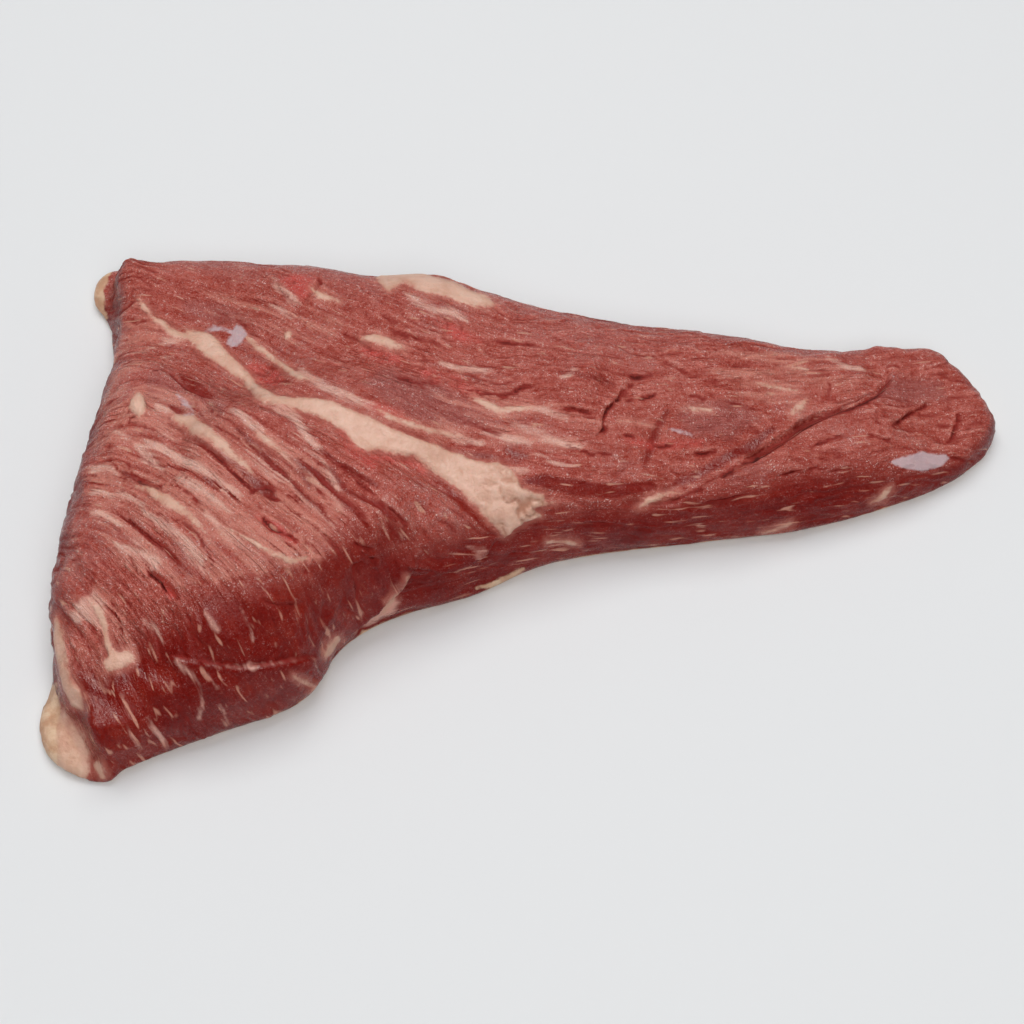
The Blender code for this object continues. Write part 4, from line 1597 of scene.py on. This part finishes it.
@dataclass
class TriTip:
    """The cut of meat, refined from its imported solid. Sizes are in metres unless named otherwise.

    The names that end in _mm are in millimetres, those that end in _spots in picture points.
    """

    node: str = "tri_tip"
    slot: str = "lean_and_fat"
    finish: RawBeef = RawBeef()

    # the fine mesh
    coarse_cell: float = 0.0032
    first_cell: float = 0.0016
    fine_cell: float = 0.00088
    most_triangles: int = 194000
    first_easing: int = 14
    last_easing: int = 4
    underside: float = 0.0004

    # the edges of the tissues that lie on the lean, of the cap of fat below it and of the walls
    edge_wave_spots: float = 17.0
    edge_sway_spots: float = 1.6
    faint_loss_mm: float = 0.6
    rind_foot: tuple[float, float] = (0.014, 0.009)
    cap_wave: float = 0.018
    cap_edge_mm: float = -1.5
    cap_back_mm: float = 7.0
    cap_sway_mm: float = 3.0
    wall_wave: float = 0.02

    # fibre bundles and the flakes that lie over each other on them
    sway: float = 0.012
    bundle: float = 0.0034
    bundle_length: float = 0.040
    bundle_sway: float = 0.0016
    lobe_relief_mm: float = 1.10
    tail_relief_mm: float = 0.28
    flake: tuple[float, float] = (0.0062, 0.0260)
    flake_sway: float = 0.0028
    flake_steps: float = 1.9
    flake_relief_mm: float = 0.85
    flake_patch: float = 0.022

    # lumps, curds of fat, and the height over the floor in which the relief grows in
    broad_lump: float = 0.016
    broad_lump_mm: float = 0.9
    small_lump: float = 0.0055
    small_lump_mm: float = 0.4
    fat_rise_mm: float = 0.35
    curd: float = 0.0038
    curd_rise_mm: float = 1.4
    curd_start_spots: tuple[float, float] = (455.0, 515.0)
    curd_top_spots: tuple[float, float] = (400.0, 440.0)
    lobe_end_spots: tuple[float, float] = (560.0, 440.0)
    floor_fade: tuple[float, float] = (0.0005, 0.006)

    def remeshed(self, body: bpy.types.Object, cell: float) -> None:
        """Rebuilds the mesh with even square faces.

        Args:
            body: the mesh object.
            cell: the size of a face.
        """
        modifier = body.modifiers.new("even", "REMESH")
        modifier.mode = "VOXEL"
        modifier.voxel_size = cell
        modifier.use_smooth_shade = True
        bpy.context.view_layer.objects.active = body
        bpy.ops.object.modifier_apply(modifier=modifier.name)

    def copied(self, name: str) -> bpy.types.Object:
        """Copies the solid.

        Args:
            name: the copy's name.

        Returns:
            The copy.
        """
        body = bpy.data.objects.new(name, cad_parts[self.node].data.copy())
        bpy.context.scene.collection.objects.link(body)
        body.data.materials.clear()
        return body

    def grain(self, surface: Surface) -> np.ndarray:
        """Lays the fibres along the surface.

        Args:
            surface: the fine surface.

        Returns:
            The distances across and along the fibres at its points, in metres.
        """
        coarse = self.copied("coarse_meat")
        self.remeshed(coarse, self.coarse_cell)
        grain = Grain().coordinates([Surface.of(coarse), surface])
        bpy.data.objects.remove(coarse)
        return grain

    def thin_underside(self, body: bpy.types.Object) -> None:
        """Joins small faces of the flat underside into larger ones.

        Args:
            body: the mesh object.
        """
        group = body.vertex_groups.new(name="underside")
        low = [v.index for v in body.data.vertices if v.co.z < self.underside]
        group.add(low, 1.0, "REPLACE")
        modifier = body.modifiers.new("thin", "DECIMATE")
        modifier.ratio = min(1.0, self.most_triangles / (2 * len(body.data.polygons)))
        modifier.vertex_group = group.name
        modifier.vertex_group_factor = 10.0
        bpy.context.view_layer.objects.active = body
        bpy.ops.object.modifier_apply(modifier=modifier.name)
        body.vertex_groups.clear()

    def refined(self) -> Surface:
        """Copies the solid and gives it a fine, even, rounded surface.

        Returns:
            The surface.
        """
        body = self.copied("tri_tip_meat")
        self.remeshed(body, self.first_cell)
        Surface.of(body).ease(self.first_easing)
        self.remeshed(body, self.fine_cell)
        Surface.of(body).ease(self.last_easing)
        self.thin_underside(body)
        return Surface.of(body)

    def tissue_fields(self, spots: np.ndarray, seen: np.ndarray, low: np.ndarray) -> dict[Tissue, np.ndarray]:
        """How far inside each tissue every point is, in millimetres, below 0 outside it.

        Args:
            spots: where the points show in the picture.
            seen: 1 where a point faces the camera, 0 where it doesn't.
            low: 1 near the floor, where the rind goes on around the edge.

        Returns:
            One field for each tissue.
        """
        waves = spots / self.edge_wave_spots
        spots = spots + self.edge_sway_spots * np.stack([layered(waves, 5, 3), layered(waves, 15, 3)], axis=1)
        fields = {tissue: np.full(len(spots), FIELD_LOW) for tissue in Tissue}
        for feature in FAT_FEATURES:
            depth = np.clip(feature.depth_inside(spots) / SPOTS_PER_MM, FIELD_LOW, FIELD_HIGH)
            depth = np.where(depth > 0, depth * feature.strength, depth)
            depth -= self.faint_loss_mm * (1.0 - feature.strength)
            shown = np.maximum(seen, low) if feature.tissue is Tissue.RIND else seen
            depth = depth * shown + FIELD_LOW * (1.0 - shown)
            fields[feature.tissue] = np.maximum(fields[feature.tissue], depth)
        return fields

    def cap_of_fat(self, surface: Surface, normals: np.ndarray) -> np.ndarray:
        """How far inside the fat cap every point is: all of the underside, and a band up the back wall.

        Args:
            surface: the surface.
            normals: its smooth normals.

        Returns:
            The depth in millimetres, below 0 outside the cap.
        """
        uneven = layered(surface.points / self.cap_wave, 31, 3)
        backward = smoothstep(-0.2, 0.6, unit(normals[:, :2])[:, 1])
        edge = self.cap_edge_mm + self.cap_back_mm * backward + self.cap_sway_mm * uneven
        up_wall = edge - surface.points[:, 2] / MILLIMETRE
        below = -normals[:, 2] * 6.0 - 2.6
        return np.clip(np.maximum(up_wall, below), FIELD_LOW, FIELD_HIGH)

    def front_lobe(self, surface: Surface, spots: np.ndarray) -> np.ndarray:
        """How much each point is on the front lobe, from 0 to 1.

        Args:
            surface: the surface.
            spots: where its points show in the picture.

        Returns:
            The share at each point.
        """
        _, side, _ = nearest_on(spots, np.array(SEAM_LOWER_EDGE, float))
        lobe = np.where(side > 0, 1.0, 0.0) * smoothstep(*self.lobe_end_spots, spots[:, 0])
        return surface.averaged(lobe, 12)

    def bundles(self, grain: np.ndarray, points: np.ndarray, lobe: np.ndarray) -> np.ndarray:
        """The height of the fibre bundles and of the small flakes that lie over each other on them.

        Args:
            grain: distances across and along the fibres.
            points: the surface's points.
            lobe: 1 on the front lobe, 0 elsewhere.

        Returns:
            The height in millimetres.
        """
        sway = np.stack([layered(points / self.sway, 41, 2), layered(points / self.sway, 42, 2)], axis=1)
        swayed = grain + sway * (self.bundle_sway, 0.0)
        wide = noise(swayed / (self.bundle * 1.6, self.bundle_length * 1.3), 43)
        fine = noise(swayed / (self.bundle * 0.8, self.bundle_length * 0.7), 47)
        bundles = 0.55 * np.sqrt(np.abs(wide) + 0.02) + 0.55 * np.sqrt(np.abs(fine) + 0.02) - 0.6
        steps = self.flake_steps * layered((grain + sway * self.flake_sway) / self.flake, 53, 2)
        part = steps - np.floor(steps)
        shown = smoothstep(-0.30, 0.35, layered(points / self.flake_patch, 57, 2) + 0.20)
        flakes = (smoothstep(0.70, 1.0, part) - part + 0.1) * shown
        share = self.tail_relief_mm + (self.lobe_relief_mm - self.tail_relief_mm) * lobe
        return bundles * share + self.flake_relief_mm * flakes

    def lumps(self, points: np.ndarray, lean: np.ndarray) -> np.ndarray:
        """The height of broad lumps everywhere and of small ones on the lean, in millimetres."""
        broad = self.broad_lump_mm * layered(points / self.broad_lump, 51, 3)
        return broad + self.small_lump_mm * layered(points / self.small_lump, 61, 2) * lean

    def torn_end(self, spots: np.ndarray, fat: np.ndarray) -> np.ndarray:
        """How much each point is in the lumpy torn end of the seam of fat, from 0 to 1."""
        right = smoothstep(*self.curd_start_spots, spots[:, 0])
        return smoothstep(0.0, 1.2, fat) * right * smoothstep(*self.curd_top_spots, spots[:, 1])

    def ledges(self, spots: np.ndarray, seen: np.ndarray) -> tuple[np.ndarray, np.ndarray, np.ndarray]:
        """How the ledges move the surface.

        Args:
            spots: where the points show in the picture.
            seen: 1 where a point faces the camera, 0 where it doesn't.

        Returns:
            The move outwards and the move over the low sides, both in millimetres, and how much
            painted shade darkens each point in the cracks.
        """
        rise, crack_shade = np.zeros(len(spots)), np.zeros(len(spots))
        shift = np.zeros((len(spots), 3))
        for seed, ledge in enumerate(LEDGES, start=71):
            near = ledge.near(spots)
            out, over, dark = ledge.offsets(spots[near], seed)
            rise[near] += out * seen[near]
            crack_shade[near] = np.maximum(crack_shade[near], dark * seen[near])
            way = ledge.low_side(spots[near])
            way = way[:, :1] * VIEW.axes[0] - way[:, 1:] * VIEW.axes[1]
            shift[near] += (over * seen[near])[:, None] * way
        return rise, shift, crack_shade

    def wall_share(
        self, points: np.ndarray, spots: np.ndarray, seen: np.ndarray, up: np.ndarray
    ) -> np.ndarray:
        """How much each point is on a wall, where the lean is painted a deeper red as shade.

        Args:
            points: the surface's points before the relief.
            spots: where they show in the picture.
            seen: 1 where a point faces the camera, 0 where it doesn't.
            up: how much each point's surroundings face up.

        Returns:
            The share at each point, from 0 to 1.
        """
        uneven = layered(points / self.wall_wave, 91, 2)
        wall = 1.0 - smoothstep(0.30, 0.80, up + 0.12 * uneven)
        apart, side, _ = nearest_on(spots, np.array(SHOULDER, float))
        below_shoulder = smoothstep(-28.0, 30.0, apart * side + 14.0 * uneven) * seen
        return np.clip(np.maximum(wall, below_shoulder), 0.0, 1.0)

    def sculpted(self, surface: Surface) -> None:
        """Presses the relief into the surface and keeps the fields that the material reads.

        Args:
            surface: the refined surface.
        """
        start = surface.points.copy()
        normals = unit(surface.averaged(surface.normals(), 10))
        spots = VIEW.seen(start)
        seen = smoothstep(-0.05, 0.12, VIEW.facing(start, normals))
        grain = self.grain(surface)
        fields = self.tissue_fields(spots, seen, smoothstep(*self.rind_foot, start[:, 2]))
        fields[Tissue.RIND] = np.maximum(fields[Tissue.RIND], self.cap_of_fat(surface, normals))
        fat = fields[Tissue.FAT]
        lean = 1.0 - smoothstep(-0.6, 0.4, np.maximum(fat, fields[Tissue.RIND]))

        curds = self.torn_end(spots, fat)
        lumpy = np.abs(layered(start / self.curd, 67, 2))
        rise = self.bundles(grain, start, self.front_lobe(surface, spots)) * lean + self.lumps(start, lean)
        rise += self.fat_rise_mm * smoothstep(-0.2, 0.8, fat)
        rise += self.curd_rise_mm * smoothstep(0.0, 0.35, lumpy) * curds
        dropped, shift, crack_shade = self.ledges(spots, seen)
        rise += dropped
        for swelling in SWELLINGS:
            rise += swelling.rise(spots) * seen

        loose = smoothstep(*self.floor_fade, start[:, 2])
        surface.points = start + (normals * rise[:, None] + shift) * loose[:, None] * MILLIMETRE
        surface.points[:, 2] = np.maximum(surface.points[:, 2], 0.0)
        surface.write()

        hollow = surface.averaged(rise, 7) - rise
        # the hollows of the relief, which the material darkens as painted shade
        groove_shade = smoothstep(0.02, 0.24, hollow) * lean
        # the walls' share, which the material paints a deeper red as shade
        wall = self.wall_share(start, spots, seen, surface.averaged(normals[:, 2], 20))
        surface.keep("grain", np.column_stack([grain, np.zeros(len(grain))]))
        surface.keep("shaded_creases", np.clip(groove_shade * 0.75 + crack_shade, 0.0, 1.4))
        # the crests of the relief, which the material lightens as painted highlight
        surface.keep("crest_highlight", smoothstep(0.02, 0.22, -hollow) * lean)
        surface.keep("wall_shade_and_bare", wall)
        surface.keep("marbling", 0.4 * wall)
        # the crevices between the curds, which the material darkens as painted shade
        surface.keep("curds", curds * smoothstep(0.20, 0.02, lumpy))
        for tissue, values in fields.items():
            surface.keep(tissue.value, values)

    def build(self) -> bpy.types.Object:
        """Makes the meat and puts it in the solid's place.

        Returns:
            The mesh object.
        """
        surface = self.refined()
        LOG.info("refined to %d points", len(surface.points))
        self.sculpted(surface)
        body = surface.body
        body.data.materials.append(self.finish.material())
        body.data.shade_smooth()
        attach(body, "root")
        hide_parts(self.node)
        return body


# The studio


@dataclass(frozen=True)
class Studio:
    """A pale floor, broad soft lights overhead and in front, and a white room."""

    floor_size: float = 6.0
    floor_colour: Colour = colour(0.78, 0.79, 0.80)
    overhead: float = 14.5
    overhead_size: float = 1.1
    overhead_place: tuple[float, float, float] = (-0.1, 0.45, 1.5)
    front: float = 11.5
    front_size: float = 1.0
    front_place: tuple[float, float, float] = (0.2, -0.9, 1.5)
    glint: float = 40.0
    glint_size: float = 0.5
    glint_colour: tuple[float, float, float] = (1.0, 0.92, 0.86)
    room: float = 0.22

    def floor(self) -> bpy.types.Object:
        """Makes the floor.

        Returns:
            The floor object.
        """
        half = self.floor_size / 2
        data = bpy.data.meshes.new("floor")
        corners = [(-half, -half, 0), (half, -half, 0), (half, half, 0), (-half, half, 0)]
        data.from_pydata(corners, [], [(0, 1, 2, 3)])
        floor = bpy.data.objects.new("floor", data)
        bpy.context.scene.collection.objects.link(floor)
        looks = {"Base Color": self.floor_colour, "Roughness": 0.8, "Specular IOR Level": 0.0}
        data.materials.append(Shader("paper_white").surface(looks))
        return floor

    def light(
        self, name: str, power: float, size: float, place: tuple[float, float, float]
    ) -> bpy.types.Object:
        """Makes a square soft light aimed at the middle of the floor.

        Args:
            name: the light's name.
            power: its power in watts.
            size: its side in metres.
            place: where it is.

        Returns:
            The light object.
        """
        data = bpy.data.lights.new(name, "AREA")
        data.energy, data.size = power, size
        light = bpy.data.objects.new(name, data)
        light.location = place
        light.rotation_euler = (-Vector(place)).to_track_quat("-Z", "Y").to_euler()
        bpy.context.scene.collection.objects.link(light)
        return light

    def build(self) -> None:
        """Makes the floor, the lights and the room, and shows colours as they are."""
        self.floor()
        self.light("overhead", self.overhead, self.overhead_size, self.overhead_place)
        self.light("front", self.front, self.front_size, self.front_place)
        glint = self.light("glint", self.glint, self.glint_size, self.overhead_place)
        glint.data.color = self.glint_colour
        glint.visible_diffuse = False
        world = bpy.data.worlds.new("room")
        world.use_nodes = True
        walls = world.node_tree.nodes["Background"].inputs
        walls["Color"].default_value = colour(1.0, 1.0, 1.0)
        walls["Strength"].default_value = self.room
        bpy.context.scene.world = world
        bpy.context.scene.view_settings.view_transform = "Standard"


def main() -> None:
    """Builds the meat, the studio and the camera."""
    logging.basicConfig(level=logging.INFO, format="%(name)s: %(message)s")
    meat = TriTip().build()
    size = "%.1f x %.1f x %.1f mm" % tuple(meat.dimensions / MILLIMETRE)
    LOG.info("%s: %d faces, %s", meat.name, len(meat.data.polygons), size)
    Studio().build()
    VIEW.camera()


if __name__ == "__main__":
    main()
